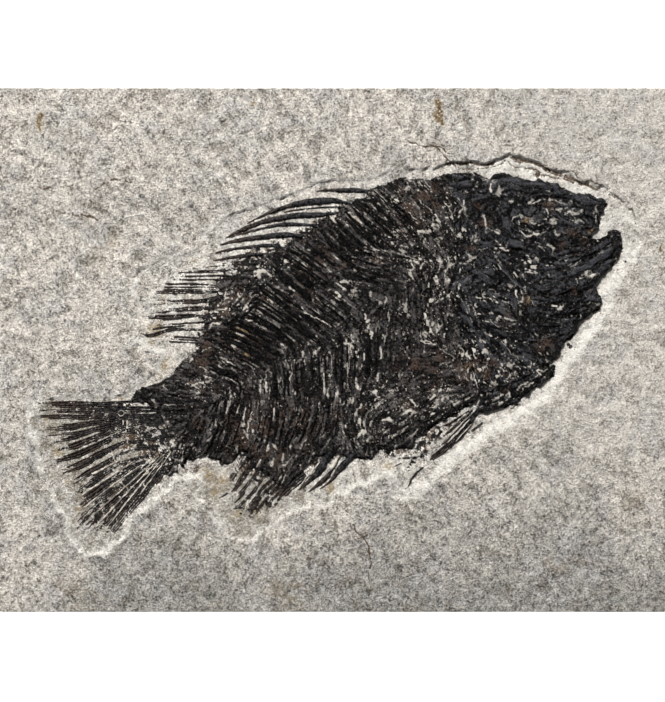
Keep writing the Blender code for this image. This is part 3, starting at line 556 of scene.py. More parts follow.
# Stone swept clean and cream-coloured round and between the fin rays, and broken brown bone there.
CREAM_PATCHES = [
    (300, 228, 16), (260, 235, 14), (330, 208, 10), (230, 245, 12), (200, 262, 10), (180, 280, 14),
    (175, 305, 12), (175, 325, 10), (315, 480, 12), (333, 467, 5), (350, 490, 14), (385, 480, 12),
    (410, 490, 10), (345, 474, 8), (535, 170, 20), (490, 168, 16), (580, 190, 14), (603, 225, 10),
    (510, 165, 14), (460, 430, 10), (395, 460, 12), (138, 348, 14),
]
BROKEN_PATCHES = [
    (270, 470, 16), (250, 462, 12), (145, 442, 16), (158, 450, 12), (425, 446, 14), (412, 462, 10),
    (285, 482, 9), (160, 468, 10), (150, 430, 10), (242, 512, 8), (254, 508, 11), (266, 504, 9),
]

# Dull tan stone between the rays, brown stone at their roots, and shaded stone at the lower edge.
DUSKY_PATCHES = [
    (36, 420, 9), (42, 446, 10), (52, 474, 12), (60, 498, 11), (74, 524, 12), (90, 540, 10),
    (50, 409, 14), (72, 410, 16), (95, 412, 16), (55, 428, 16), (82, 428, 18), (110, 424, 18),
    (132, 424, 14), (66, 448, 18), (94, 446, 20), (120, 440, 18), (76, 468, 18), (106, 464, 20),
    (132, 456, 16), (80, 490, 16), (108, 484, 18), (88, 512, 14), (112, 506, 16), (104, 525, 12),
    (130, 490, 14), (240, 482, 14), (260, 486, 16), (240, 500, 12), (262, 502, 12), (278, 494, 10),
    (225, 490, 8), (250, 512, 12), (266, 506, 10), (206, 480, 14), (216, 492, 12), (230, 512, 14),
    (244, 526, 14), (258, 522, 12), (238, 536, 9), (280, 506, 10), (298, 498, 8),
]
UMBER_PATCHES = [
    (262, 474, 14), (280, 484, 11), (248, 468, 12), (272, 490, 8), (134, 438, 12), (142, 430, 10),
    (128, 446, 9), (150, 442, 12), (144, 454, 9), (156, 456, 10), (196, 470, 6), (425, 448, 8),
]
SHADED_PATCHES = [
    (400, 590, 40), (78, 592, 20), (110, 570, 30), (290, 590, 26), (20, 190, 30),
]


def on_slab(column, row):
    """Turn grid columns and rows into metres across (x) and up (y)."""
    return (column - GRID_CENTRE[0]) * GRID_STEP, (GRID_CENTRE[1] - row) * GRID_STEP


# ---- Fields: heights and masks worked out on a square lattice
def smooth_step(low, high, values):
    """Rise smoothly from 0 at low to 1 at high."""
    share = np.clip((values - low) / (high - low), 0, 1)
    return share * share * (3 - 2 * share)


def standard(values):
    """Shift and scale an array to mean 0 and spread 1."""
    return (values - values.mean()) / values.std()


def blend(share, first, second):
    """Mix two arrays or numbers."""
    return first + (second - first) * share


def spline_weights(places, cell):
    """Cubic B-spline weights that spread knots a cell apart over evenly spaced places."""
    knots = (places - places[0]) / cell + 1
    first = np.floor(knots).astype(int)
    t = knots - first
    weights = np.zeros((len(places), first[-1] + 4))
    line = np.arange(len(places))
    shares = ((1 - t) ** 3, 3 * t**3 - 6 * t**2 + 4, -3 * t**3 + 3 * t**2 + 3 * t + 1, t**3)
    for offset, share in enumerate(shares):
        weights[line, first - 1 + offset] = share / 6
    return weights


def to_segment(c, r, start, end):
    """Find the nearest place along a segment, from 0 to 1, and the distance to it."""
    run, fall = end[0] - start[0], end[1] - start[1]
    share = ((c - start[0]) * run + (r - start[1]) * fall) / (run * run + fall * fall)
    share = np.clip(share, 0, 1)
    return share, np.hypot(c - start[0] - share * run, r - start[1] - share * fall)


def highest(*layers):
    """Keep the highest of several layers at each point."""
    return np.maximum.reduce(layers)


class Field:
    """A lattice of points over a part of the slab, spaced and placed in grid steps."""

    def __init__(self, left, top, right, bottom, step):
        self.step = step
        self.columns = np.arange(left, right + step / 2, step)
        self.rows = np.arange(top, bottom + step / 2, step)
        self.c, self.r = np.meshgrid(self.columns, self.rows)
        self.wander = 0.0

    def bent(self, amount, size, seed):
        """Copy the field with its points wandering, so that what is drawn on it wavers."""
        other = copy.copy(self)
        other.c = self.c + amount * self.cloud(size, seed)
        other.r = self.r + amount * self.cloud(size, seed + 1)
        other.wander = 3 * amount
        return other

    def blank(self):
        """Return zeros on the lattice."""
        return np.zeros(self.c.shape)

    def inside(self, outline):
        """Distance to a closed outline, positive inside it."""
        gap = np.full(self.c.shape, np.inf)
        within = np.zeros(self.c.shape, bool)
        for start, end in zip(outline, outline[1:] + outline[:1]):
            gap = np.minimum(gap, to_segment(self.c, self.r, start, end)[1])
            if end[1] != start[1]:
                crosses = (start[1] <= self.r) != (end[1] <= self.r)
                run, fall = end[0] - start[0], end[1] - start[1]
                within ^= crosses & (self.c < start[0] + (self.r - start[1]) * run / fall)
        return np.where(within, gap, -gap)

    def paint(self, canvas, line, strength, soft):
        """Raise a canvas along a line of (column, row, width) points, fading at its sides."""
        for start, end in zip(line, line[1:]):
            (c0, r0, w0), (c1, r1, w1) = start, end
            reach = max(w0, w1) / 2 + soft + self.wander
            rows = slice(*np.searchsorted(self.rows, (min(r0, r1) - reach, max(r0, r1) + reach)))
            columns = slice(*np.searchsorted(self.columns, (min(c0, c1) - reach, max(c0, c1) + reach)))
            share, away = to_segment(self.c[rows, columns], self.r[rows, columns], start, end)
            half = (w0 + (w1 - w0) * share) / 2
            level = strength * np.clip((half - away) / soft + 0.5, 0, 1)
            canvas[rows, columns] = np.maximum(canvas[rows, columns], level)
        return canvas

    def lines(self, lines, soft, strength=1.0, seed=None):
        """Paint several lines on a blank canvas, each at its own seeded strength if there is a seed."""
        canvas = self.blank()
        draw = np.random.default_rng(seed)
        for line in lines:
            self.paint(canvas, line, strength * draw.uniform(0.45, 1.1) if seed else strength, soft)
        return canvas

    def patches(self, spots):
        """Soft round patches of (column, row, reach), 1 in the middle of each."""
        canvas = self.blank()
        for column, row, reach in spots:
            away = np.hypot(self.c - column, self.r - row) / reach
            canvas = np.maximum(canvas, np.exp(-away * away))
        return canvas

    def cloud(self, size, seed, octaves=2):
        """Seeded soft noise with blobs of about a size, mean 0 and spread 1."""
        total = self.blank()
        for octave in range(octaves):
            cell = size / 2**octave
            across = spline_weights(self.columns, cell)
            down = spline_weights(self.rows, cell)
            draw = np.random.default_rng((seed, octave))
            knots = draw.standard_normal((down.shape[1], across.shape[1]))
            total += 0.6**octave * (down @ knots @ across.T)
        return standard(total)

    def mottle(self, low, high, size, seed, octaves=2):
        """Seeded soft blotches, 0 where a cloud is under one level and 1 where it is over another."""
        return smooth_step(low, high, self.cloud(size, seed, octaves))

    def soften(self, values, radius):
        """Blur an array by a Gaussian of a radius in grid steps."""
        spread = 2 * (np.pi * radius / self.step) ** 2
        down = np.fft.fftfreq(values.shape[0])[:, None]
        across = np.fft.rfftfreq(values.shape[1])[None, :]
        falloff = np.exp(-spread * (down**2 + across**2))
        return np.fft.irfft2(np.fft.rfft2(values) * falloff, values.shape)

    def lay(self, grain):
        """Blend guide directions (column, row, degrees) into one direction for each point."""
        twice_cos = self.blank()
        twice_sin = self.blank()
        for column, row, degrees in grain:
            weight = 1 / (1 + (self.c - column) ** 2 + (self.r - row) ** 2) ** 1.5
            twice_cos += weight * np.cos(2 * np.radians(degrees))
            twice_sin += weight * np.sin(2 * np.radians(degrees))
        return np.arctan2(twice_sin, twice_cos) / 2

    def index(self, column, row):
        """Row and column numbers of the lattice points nearest some places."""
        i = np.clip(np.rint((row - self.rows[0]) / self.step), 0, len(self.rows) - 1)
        j = np.clip(np.rint((column - self.columns[0]) / self.step), 0, len(self.columns) - 1)
        return i.astype(int), j.astype(int)

    def near(self, values, column, row):
        """Read an array at the lattice point nearest a place."""
        return float(values[self.index(column, row)])

    def brush(self, pattern, direction, length):
        """Smear a pattern along a direction by a length each way."""
        height, width = pattern.shape
        start_rows, start_columns = np.indices(pattern.shape, float)
        steps = max(1, round(length / self.step))
        total = pattern.copy()
        for way in (1, -1):
            rows, columns = start_rows.copy(), start_columns.copy()
            near_row, near_column = rows.astype(int), columns.astype(int)
            for _ in range(steps):
                turn = direction[near_row, near_column]
                rows += way * np.sin(turn)
                columns += way * np.cos(turn)
                near_row = np.clip(np.rint(rows), 0, height - 1).astype(int)
                near_column = np.clip(np.rint(columns), 0, width - 1).astype(int)
                total += pattern[near_row, near_column]
        return total / (2 * steps + 1)

    def fibres(self, direction, width, length, seed):
        """Seeded streaks along a direction, mean 0 and spread 1."""
        return standard(self.brush(self.cloud(width, seed, 1), direction, length))

    def flecks(self, direction, size, length, seed, share):
        """Seeded short dashes along a direction that cover about a share of the field, 0 to 1."""
        streaks = self.fibres(direction, size, length, seed) + 0.3 * self.cloud(size, seed + 1, 1)
        edge = np.quantile(streaks, 1 - share)
        return smooth_step(edge, edge + 0.6 * streaks.std(), streaks)

    def shards(self, direction, length, width, seed):
        """Seeded long plates along a direction: (nearness to a joint, relief, tone) of each point."""
        pitch = (length * width) ** 0.5
        reach = 2
        row_cell = np.floor((self.r - self.r.min()) / pitch).astype(int) + reach
        column_cell = np.floor((self.c - self.c.min()) / pitch).astype(int) + reach
        shape = (row_cell.max() + reach + 1, column_cell.max() + reach + 1)
        draw = np.random.default_rng(seed)
        centre_r = self.r.min() + (np.arange(shape[0])[:, None] - reach + draw.random(shape)) * pitch
        centre_c = self.c.min() + (np.arange(shape[1])[None, :] - reach + draw.random(shape)) * pitch
        turn = direction[self.index(centre_c, centre_r)] + 0.10 * draw.standard_normal(shape)
        cosine, sine = np.cos(turn), np.sin(turn)
        lift = draw.standard_normal(shape)
        tilt = draw.standard_normal(shape)
        shade = draw.random(shape)
        first = np.full(self.c.shape, np.inf)
        second = first.copy()
        relief, tone = self.blank(), self.blank()
        for down in range(-reach, reach + 1):
            for right in range(-reach, reach + 1):
                cell = (row_cell + down, column_cell + right)
                dc, dr = self.c - centre_c[cell], self.r - centre_r[cell]
                along = (dc * cosine[cell] + dr * sine[cell]) / length
                across = (dr * cosine[cell] - dc * sine[cell]) / width
                away = np.hypot(along, across)
                wins = away < first
                second = np.where(wins, first, np.minimum(second, away))
                first = np.where(wins, away, first)
                form = 0.7 * lift[cell] + 1.6 * tilt[cell] * across - 1.2 * across**2
                relief = np.where(wins, form, relief)
                tone = np.where(wins, shade[cell], tone)
        return 1 - smooth_step(0.02, 0.3, second - first), relief, tone


# ---- Meshes
def keep_mesh(name, points, faces, material, masks):
    """Turn points and faces into an object, with each mask as a point attribute."""
    mesh = bpy.data.meshes.new(name)
    mesh.from_pydata(points, [], faces)
    for label, values in masks.items():
        layer = mesh.attributes.new(label, "FLOAT", "POINT")
        layer.data.foreach_set("value", np.asarray(values, np.float32))
    mesh.materials.append(material)
    mesh.polygons.foreach_set("use_smooth", np.ones(len(mesh.polygons), bool))
    mesh.update()
    obj = bpy.data.objects.new(name, mesh)
    bpy.context.collection.objects.link(obj)
    return obj


def fill_corners(owner, part):
    """Give a part one more cell wherever two of its cells touch only at a corner."""
    own = owner == part
    falling = own[:-1, :-1] & own[1:, 1:] & ~own[:-1, 1:] & ~own[1:, :-1]
    rising = own[:-1, 1:] & own[1:, :-1] & ~own[:-1, :-1] & ~own[1:, 1:]
    owner[:-1, 1:][falling] = part
    owner[:-1, :-1][rising] = part
    return bool(falling.any() or rising.any())


def relief_mesh(name, surface, part, base, material):
    """Close a part of a surface into a solid: the cells that it owns, a skirt and an underside."""
    field, shift = surface.field, surface.shift
    rows, columns = np.nonzero(surface.owner == part)
    width = field.c.shape[1]
    corner = rows * width + columns
    quads = np.stack((corner, corner + width, corner + width + 1, corner + 1), axis=1)
    used, numbers = np.unique(quads, return_inverse=True)
    quads = numbers.reshape(quads.shape)

    sides = np.concatenate([quads[:, (k, (k + 1) % 4)] for k in range(4)])
    count = len(used)
    forward = sides[:, 0].astype(np.int64) * count + sides[:, 1]
    backward = sides[:, 1].astype(np.int64) * count + sides[:, 0]
    rim = sides[~np.isin(forward, backward)]
    on_rim = np.unique(rim)

    x, y = on_slab((field.c + shift[0]).ravel()[used], (field.r + shift[1]).ravel()[used])
    points = np.stack((x, y, surface.top.ravel()[used]), axis=1)
    under = points[on_rim].copy()
    under[:, 2] = base
    lower = np.full(count, -1)
    lower[on_rim] = count + np.arange(len(on_rim))
    skirt = np.stack((rim[:, 1], rim[:, 0], lower[rim[:, 0]], lower[rim[:, 1]]), axis=1)
    values = {}
    for label, mask in surface.masks.items():
        kept = mask.ravel()[used]
        values[label] = np.concatenate((kept, kept[on_rim]))
    faces = np.concatenate((quads, skirt)).tolist()
    obj = keep_mesh(name, np.concatenate((points, under)).tolist(), faces, material, values)

    shape = bmesh.new()
    shape.from_mesh(obj.data)
    open_edges = [side for side in shape.edges if side.is_boundary]
    bmesh.ops.triangle_fill(shape, edges=open_edges, use_beauty=False, normal=(0, 0, -1))
    bmesh.ops.recalc_face_normals(shape, faces=shape.faces)
    shape.to_mesh(obj.data)
    shape.free()
    obj.data.polygons.foreach_set("use_smooth", np.ones(len(obj.data.polygons), bool))
    return obj


# ---- Node graphs
class Signal:
    """A socket in an expression. Each operator adds the node that works it out."""

    def __init__(self, graph, socket):
        self.graph = graph
        self.socket = socket

    def maths(self, operation, *values):
        """Add a Math node on these values and return its result."""
        return self.graph.add("ShaderNodeMath", {"operation": operation}, dict(enumerate(values)))

    def __add__(self, other):
        return self.maths("ADD", self, other)

    def __radd__(self, other):
        return self.maths("ADD", other, self)

    def __sub__(self, other):
        return self.maths("SUBTRACT", self, other)

    def __rsub__(self, other):
        return self.maths("SUBTRACT", other, self)

    def __mul__(self, other):
        return self.maths("MULTIPLY", self, other)

    def __rmul__(self, other):
        return self.maths("MULTIPLY", other, self)

    def __truediv__(self, other):
        return self.maths("DIVIDE", self, other)

    def fraction(self):
        """Keep what follows the decimal point."""
        return self.maths("FRACT", self)

    def size(self):
        """Drop the sign."""
        return self.maths("ABSOLUTE", self)

    def least(self, low):
        """Hold the value at or over a limit."""
        return self.maths("MAXIMUM", self, low)

    def rise(self, low, high):
        """Rise smoothly from 0 at low to 1 at high."""
        inputs = {"Value": self, "From Min": low, "From Max": high}
        return self.graph.add("ShaderNodeMapRange", {"interpolation_type": "SMOOTHSTEP"}, inputs)


class Graph:
    """A node tree that is filled from Python."""

    def __init__(self, tree):
        self.tree = tree

    def add(self, kind, settings=None, inputs=None, output=0):
        """Add a node: its settings first, then values or links for its sockets."""
        node = self.tree.nodes.new(kind)
        for label, value in (settings or {}).items():
            setattr(node, label, value)
        for label, value in (inputs or {}).items():
            if isinstance(value, Signal):
                self.tree.links.new(value.socket, node.inputs[label])
            else:
                node.inputs[label].default_value = value
        return Signal(self, node.outputs[output])

    def blend(self, share, first, second):
        """Mix two colours, each a signal or a red, green and blue."""
        first, second = (end if isinstance(end, Signal) else (*end, 1.0) for end in (first, second))
        inputs = {0: share, 6: first, 7: second}
        return self.add("ShaderNodeMix", {"data_type": "RGBA"}, inputs, output=2)

    def mask(self, label):
        """Read a point attribute as a number."""
        return self.add("ShaderNodeAttribute", {"attribute_name": label}, output="Fac")

    def noise(self, place, scale, detail, roughness):
        """Read a noise texture of a scale per metre, from about -1 to 1."""
        inputs = {"Vector": place, "Scale": scale, "Detail": detail, "Roughness": roughness}
        return self.add("ShaderNodeTexNoise", {"normalize": False}, inputs, output="Fac")

    def vector(self, operation, *values):
        """Add a Vector Math node on these values and return its result."""
        return self.add("ShaderNodeVectorMath", {"operation": operation}, dict(enumerate(values)))

    def scale(self, vector, factor):
        """Make a vector longer or a colour lighter by a factor."""
        return self.add("ShaderNodeVectorMath", {"operation": "SCALE"}, {0: vector, "Scale": factor})

    def combine(self, x, y, z):
        """Join three numbers into a vector."""
        return self.add("ShaderNodeCombineXYZ", None, {"X": x, "Y": y, "Z": z})

    def named(self, label):
        """Read a point attribute as a number, in a geometry tree."""
        return self.add("GeometryNodeInputNamedAttribute", {"data_type": "FLOAT"}, {"Name": label})

    def store(self, shape, label, value):
        """Keep a number at each point of a shape, for its material."""
        settings = {"data_type": "FLOAT", "domain": "POINT"}
        inputs = {"Geometry": shape, "Name": label, "Value": value}
        return self.add("GeometryNodeStoreNamedAttribute", settings, inputs)

    def random(self, low, high, seed):
        """Draw a number for each point, from low to high."""
        inputs = {2: low, 3: high, "Seed": seed}
        return self.add("FunctionNodeRandomValue", {"data_type": "FLOAT"}, inputs, output=1)


NOISE_TURN = (0.61, 0.37, 0.83)
BONE_SHEEN = 0.14


def new_finish(name, sheen=0.5):
    """Return a new material with its graph, turned Object coordinates and shader."""
    material = bpy.data.materials.new(name)
    material.use_nodes = True
    tree = material.node_tree
    tree.nodes.clear()
    graph = Graph(tree)
    place = graph.add("ShaderNodeTexCoord", output="Object")
    place = graph.add("ShaderNodeMapping", None, {"Vector": place, "Rotation": NOISE_TURN})
    shader = tree.nodes.new("ShaderNodeBsdfPrincipled")
    shader.inputs["Specular IOR Level"].default_value = sheen
    ending = tree.nodes.new("ShaderNodeOutputMaterial")
    tree.links.new(shader.outputs["BSDF"], ending.inputs["Surface"])
    return material, graph, place, shader


def plug(graph, shader, links):
    """Link each signal to the shader's socket of that name."""
    for label, signal in links.items():
        graph.tree.links.new(signal.socket, shader.inputs[label])


def end_finish(graph, shader, colour, roughness, relief, depth, strength):
    """Link a finish's colour, its roughness and a bump of a depth in metres."""
    inputs = {"Height": relief, "Distance": depth, "Strength": strength}
    bump = graph.add("ShaderNodeBump", None, inputs)
    plug(graph, shader, {"Base Color": colour, "Roughness": roughness, "Normal": bump})


def limestone_finish(stone):
    """Speckled, faintly layered limestone with scraped, stained and bone-filmed places; part of the film is
    painted shade between bones, and part of the scraped line is painted light.
    """
    material, graph, place, shader = new_finish("speckled_limestone", sheen=0.25)
    mottle = graph.noise(place, 450.0, 5.0, 0.85)
    grain = graph.noise(place, 1700.0, 3.0, 0.8)
    fine = graph.noise(place, 3500.0, 1.0, 0.8)
    broad = graph.noise(place, 110.0, 3.0, 0.7)
    blotch = graph.noise(place, 230.0, 3.0, 0.75)
    veins = graph.noise(place, 420.0, 2.0, 0.7)
    tone = graph.mask("tone")
    fresh_and_painted_light = graph.mask("fresh_and_painted_light")
    stain = graph.mask("brown")

    colour = graph.blend(tone, stone.warm_colour, stone.cool_colour)
    colour = graph.blend(broad.rise(-0.2, 0.6) * 0.5, colour, stone.lilac_colour)
    patched = (blotch + 0.4 * mottle + 0.2 * grain).rise(0.05, 0.9) * 0.75
    colour = graph.blend(patched, colour, stone.patch_colour)
    speckled = (0.6 * mottle + 0.8 * grain + 0.5 * fine).rise(0.45, 1.2)
    colour = graph.blend(speckled * 0.5, colour, stone.speck_colour)
    thin = (1.0 - veins.size().rise(0.02, 0.16)) * (blotch + 0.3 * grain).rise(-0.2, 0.4)
    colour = graph.blend(thin * tone.rise(0.1, 1.0) * 0.7, colour, stone.speck_colour)
    # Cream of freshly scraped stone; along the trough's edge on the tail side part of it is painted light.
    colour = graph.blend(fresh_and_painted_light * 0.85, colour, stone.cream_colour)
    contrast = (1.0 + 0.12 * tone) * (1.0 - 0.6 * fresh_and_painted_light) * (1.0 - 0.25 * graph.mask("calm"))
    light = 1.0 - contrast * (0.44 * mottle + 0.56 * grain + 0.56 * fine)
    colour = graph.scale(colour, light.least(0.25))
    ochre = (graph.mask("ochre") * (0.9 + 0.7 * grain)).rise(0.0, 1.2)
    colour = graph.blend(ochre, colour, stone.ochre_colour)
    brown = (stain + 0.4 * grain + 0.3 * fine).rise(0.25, 0.85)
    colour = graph.blend(brown * stain.rise(0.0, 0.3), colour, stone.brown_colour)
    # Dark film on the stone, partly painted shade in the gaps between bones.
    film = (graph.mask("film") + 0.35 * grain + 0.25 * fine).rise(0.35, 0.75)
    colour = graph.blend(film, colour, stone.film_and_gap_shade_colour)

    relief = 0.3 * fine + 0.45 * grain + 0.5 * mottle
    end_finish(graph, shader, colour, 0.8 + 0.15 * grain, relief, 0.30 * MM, 0.9)
    return material


def bone_grit(graph, place, scale):
    """Return the crumbly and the fine noise of bone, and the two together."""
    crumble = graph.noise(place, scale, 3.0, 0.75)
    fine = graph.noise(place, 4000.0, 1.0, 0.8)
    return crumble, fine, 0.5 * crumble + 0.4 * fine


def bone_finish(name, bone, dark_colour, sheen_colour, gloss):
    """Near-black bone with streaks and a painted slate sheen in its colour, brown stains and pale specks of
    stone.
    """
    material, graph, place, shader = new_finish(name, sheen=BONE_SHEEN)
    crumble, fine, grit = bone_grit(graph, place, 1700.0)
    # The fibre mask and grit lighten the colour towards the sheen colour: partly lighter streaks, partly
    # painted sheen.
    streak_and_sheen_share = (graph.mask("fibre_and_sheen") + 0.95 * grit).rise(0.12, 1.1)
    colour = graph.blend(streak_and_sheen_share, dark_colour, sheen_colour)
    stain = (graph.mask("brown") + 1.1 * grit).rise(0.2, 1.05)
    colour = graph.blend(stain, colour, bone.brown_colour)
    dust = (graph.mask("dust") + 0.5 * grit).rise(0.3, 0.85) * 0.9
    colour = graph.blend(dust, colour, bone.dust_colour)
    speckled = (graph.mask("pale") + 0.45 * grit).rise(0.3, 1.05)
    colour = graph.blend(speckled, colour, bone.pale_colour)
    tan = (graph.mask("tan") + 0.8 * grit).rise(0.3, 0.9)
    colour = graph.blend(tan, colour, bone.tan_colour)
    roughness = gloss + 0.12 * crumble + 0.35 * speckled + 0.25 * dust
    end_finish(graph, shader, colour, roughness, 0.4 * fine + 0.5 * crumble, 0.22 * MM, 0.9)
    return material


def fin_finish(name, bone, dark_colour, sheen_colour, gloss):
    """Dark fin bone with a painted sheen in its colour, that turns brown towards its tip, broken by pale
    joints.
    """
    material, graph, place, shader = new_finish(name, sheen=BONE_SHEEN)
    crumble, fine, grit = bone_grit(graph, place, 1500.0)
    # Grit lightens the colour in patches towards the sheen colour: painted sheen.
    colour = graph.blend((0.35 + 1.1 * grit).rise(0.1, 1.0), dark_colour, sheen_colour)
    tipward = (graph.mask("along") * 0.8 + 0.9 * grit).rise(0.3, 1.0) * 0.8
    colour = graph.blend(tipward, colour, bone.brown_colour)
    chipped = (graph.mask("chip") + 0.9 * grit).rise(0.35, 0.9)
    colour = graph.blend(chipped * 0.85, colour, bone.dust_colour)
    roughness = gloss + 0.12 * crumble + 0.3 * chipped
    end_finish(graph, shader, colour, roughness, 0.4 * fine + 0.5 * crumble, 0.14 * MM, 0.8)
    return material


def crumb_finish(bone):
    """Small pale crumbs of stone and calcite."""
    material, graph, place, shader = new_finish("pale_crumbs", sheen=0.25)
    grit = graph.noise(place, 2600.0, 3.0, 0.6)
    patch = graph.noise(place, 500.0, 2.0, 0.6)
    colour = graph.blend(patch.rise(-0.4, 0.4), bone.pale_colour, bone.dust_colour)
    colour = graph.blend(grit.rise(0.0, 0.7) * 0.6, colour, bone.tan_colour)
    end_finish(graph, shader, colour, 0.8 + 0.2 * grit, 0.4 * grit, 0.1 * MM, 0.5)
    return material


# ---- Geometry Nodes
def new_growth(name, numbers, others):
    """Return a geometry tree with named inputs, and the graph and input signals to build it with."""
    tree = bpy.data.node_groups.new(name, "GeometryNodeTree")
    tree.interface.new_socket("Geometry", in_out="INPUT", socket_type="NodeSocketGeometry")
    tree.interface.new_socket("Geometry", in_out="OUTPUT", socket_type="NodeSocketGeometry")
    for label, kind in {**dict.fromkeys(numbers, "Float"), **others}.items():
        tree.interface.new_socket(label, in_out="INPUT", socket_type=f"NodeSocket{kind}")
    graph = Graph(tree)
    entry = tree.nodes.new("NodeGroupInput")
    inputs = {socket.name: Signal(graph, socket) for socket in entry.outputs if socket.name}
    return tree, graph, inputs


def end_growth(graph, shape, material):
    """Finish a geometry tree: real geometry, smooth shading and one material."""
    shape = graph.add("GeometryNodeRealizeInstances", None, {"Geometry": shape})
    shape = graph.add("GeometryNodeSetShadeSmooth", None, {"Geometry": shape})
    shape = graph.add("GeometryNodeSetMaterial", None, {"Geometry": shape, "Material": material})
    ending = graph.tree.nodes.new("NodeGroupOutput")
    graph.tree.links.new(shape.socket, ending.inputs["Geometry"])


def rod_tree():
    """Round-backed bony rods along lines, thickened and thinned from joint to joint."""
    numbers = (
        "Station spacing", "Joint spacing", "Joint depth", "Unevenness", "Waver", "Rise", "Seed",
    )
    tree, graph, inputs = new_growth("bony_rods", numbers, {"Sides": "Int", "Material": "Material"})
    lines = graph.add("GeometryNodeMeshToCurve", None, {"Mesh": inputs["Geometry"]})
    lines = graph.add("GeometryNodeCurveSplineType", {"spline_type": "CATMULL_ROM"}, {"Curve": lines})
    spaced = {"Curve": lines, "Length": inputs["Station spacing"]}
    lines = graph.add("GeometryNodeResampleCurve", {"mode": "LENGTH"}, spaced)
    width = graph.named("width")
    place = graph.add("GeometryNodeInputPosition")
    seeded = graph.vector("ADD", place, graph.combine(inputs["Seed"], 0.0, 0.0))
    bends = {"Vector": seeded, "Scale": 700.0, "Detail": 2.0}
    wander = graph.add("ShaderNodeTexNoise", None, bends, output="Color")
    centred = graph.vector("SUBTRACT", wander, (0.5, 0.5, 0.5))
    moved = {"Geometry": lines, "Offset": graph.scale(centred, inputs["Waver"])}
    lines = graph.add("GeometryNodeSetPosition", None, moved)

    run = graph.add("GeometryNodeSplineParameter", output="Length")
    beat = (run / inputs["Joint spacing"]).fraction()
    joint = (beat - 0.5).size().rise(0.36, 0.5)
    bumps = {"Vector": seeded, "Scale": 1400.0, "Detail": 2.0}
    lumps = graph.add("ShaderNodeTexNoise", None, bumps, output="Fac")
    swell = 1 + (lumps - 0.5) * inputs["Unevenness"]
    radius = width * 0.5 * swell * (1 - joint * inputs["Joint depth"])
    share = graph.add("GeometryNodeSplineParameter", output="Factor")
    lines = graph.store(lines, "along", share)
    lines = graph.store(lines, "chip", joint * inputs["Joint depth"] * 0.6)
    lines = graph.add("GeometryNodeSetCurveNormal", {"mode": "Z_UP"}, {"Curve": lines})

    ring = {"Resolution": inputs["Sides"], "Radius": 1.0}
    circle = graph.add("GeometryNodeCurvePrimitiveCircle", None, ring)
    flat = {"Geometry": circle, "Scale": graph.combine(1.0, inputs["Rise"], 1.0)}
    section = graph.add("GeometryNodeTransform", None, flat)
    sweep = {"Curve": lines, "Profile Curve": section, "Scale": radius, "Fill Caps": True}
    rods = graph.add("GeometryNodeCurveToMesh", None, sweep)
    end_growth(graph, rods, inputs["Material"])
    return tree


def crumb_tree():
    """Small broken crumbs scattered over a surface where its crumb mask is high."""
    numbers = ("Density", "Smallest", "Largest", "Flatness")
    tree, graph, inputs = new_growth("stone_crumbs", numbers, {"Seed": "Int", "Material": "Material"})
    seed = inputs["Seed"]
    density = graph.named("crumbs") * inputs["Density"]
    spread = {"Mesh": inputs["Geometry"], "Density": density, "Seed": seed}
    settings = {"distribute_method": "RANDOM"}
    scatter = graph.add("GeometryNodeDistributePointsOnFaces", settings, spread)
    crumb = graph.add("GeometryNodeMeshIcoSphere", None, {"Radius": 1.0, "Subdivisions": 1})
    size = graph.random(inputs["Smallest"], inputs["Largest"], seed)
    turns = {0: (-0.4, -0.4, 0.0), 1: (0.4, 0.4, 6.28), "Seed": seed}
    turn = graph.add("FunctionNodeRandomValue", {"data_type": "FLOAT_VECTOR"}, turns)
    stretch = graph.random(0.6, 1.9, seed + 1)
    scale = graph.combine(size * stretch, size, size * inputs["Flatness"])
    placed = {"Points": scatter, "Instance": crumb, "Rotation": turn, "Scale": scale}
    crumbs = graph.add("GeometryNodeInstanceOnPoints", None, placed)
    end_growth(graph, crumbs, inputs["Material"])
    return tree


def grow(name, host, tree, values):
    """Run a geometry tree on a host mesh and return the result as a plain mesh object."""
    obj = bpy.data.objects.new(name, host)
    bpy.context.collection.objects.link(obj)
    modifier = obj.modifiers.new("growth", "NODES")
    modifier.node_group = tree
    for item in tree.interface.items_tree:
        if item.item_type == "SOCKET" and item.in_out == "INPUT" and item.name in values:
            modifier[item.identifier] = values[item.name]
    graph_state = bpy.context.evaluated_depsgraph_get()
    mesh = bpy.data.meshes.new_from_object(
        obj.evaluated_get(graph_state), preserve_all_data_layers=True, depsgraph=graph_state
    )
    obj.modifiers.clear()
    obj.data = mesh
    if not mesh.polygons:
        raise RuntimeError(f"{name} came out empty")
    mesh.name = name
    return obj


def line_mesh(name, lines, level):
    """Lay lines of (column, row, width) as chains of edges at level(column, row), with their widths."""
    points = []
    edges = []
    widths = []
    for line in lines:
        for index, (column, row, width) in enumerate(line):
            if index:
                edges.append((len(points) - 1, len(points)))
            points.append((*on_slab(column, row), level(column, row)))
            widths.append(width * GRID_STEP)
    mesh = bpy.data.meshes.new(name)
    mesh.from_pydata(points, edges, [])
    layer = mesh.attributes.new("width", "FLOAT", "POINT")
    layer.data.foreach_set("value", widths)
    return mesh


# ---- Settings
def colour_setting(name, description, default):
    """A colour that a user may change."""
    return FloatVectorProperty(
        name=name, description=description, default=default, subtype="COLOR", min=0.0, max=1.0
    )


def length_setting(name, description, default):
    """A length that a user may change, in metres."""
    return FloatProperty(name=name, description=description, default=default, min=0.0, unit="LENGTH")


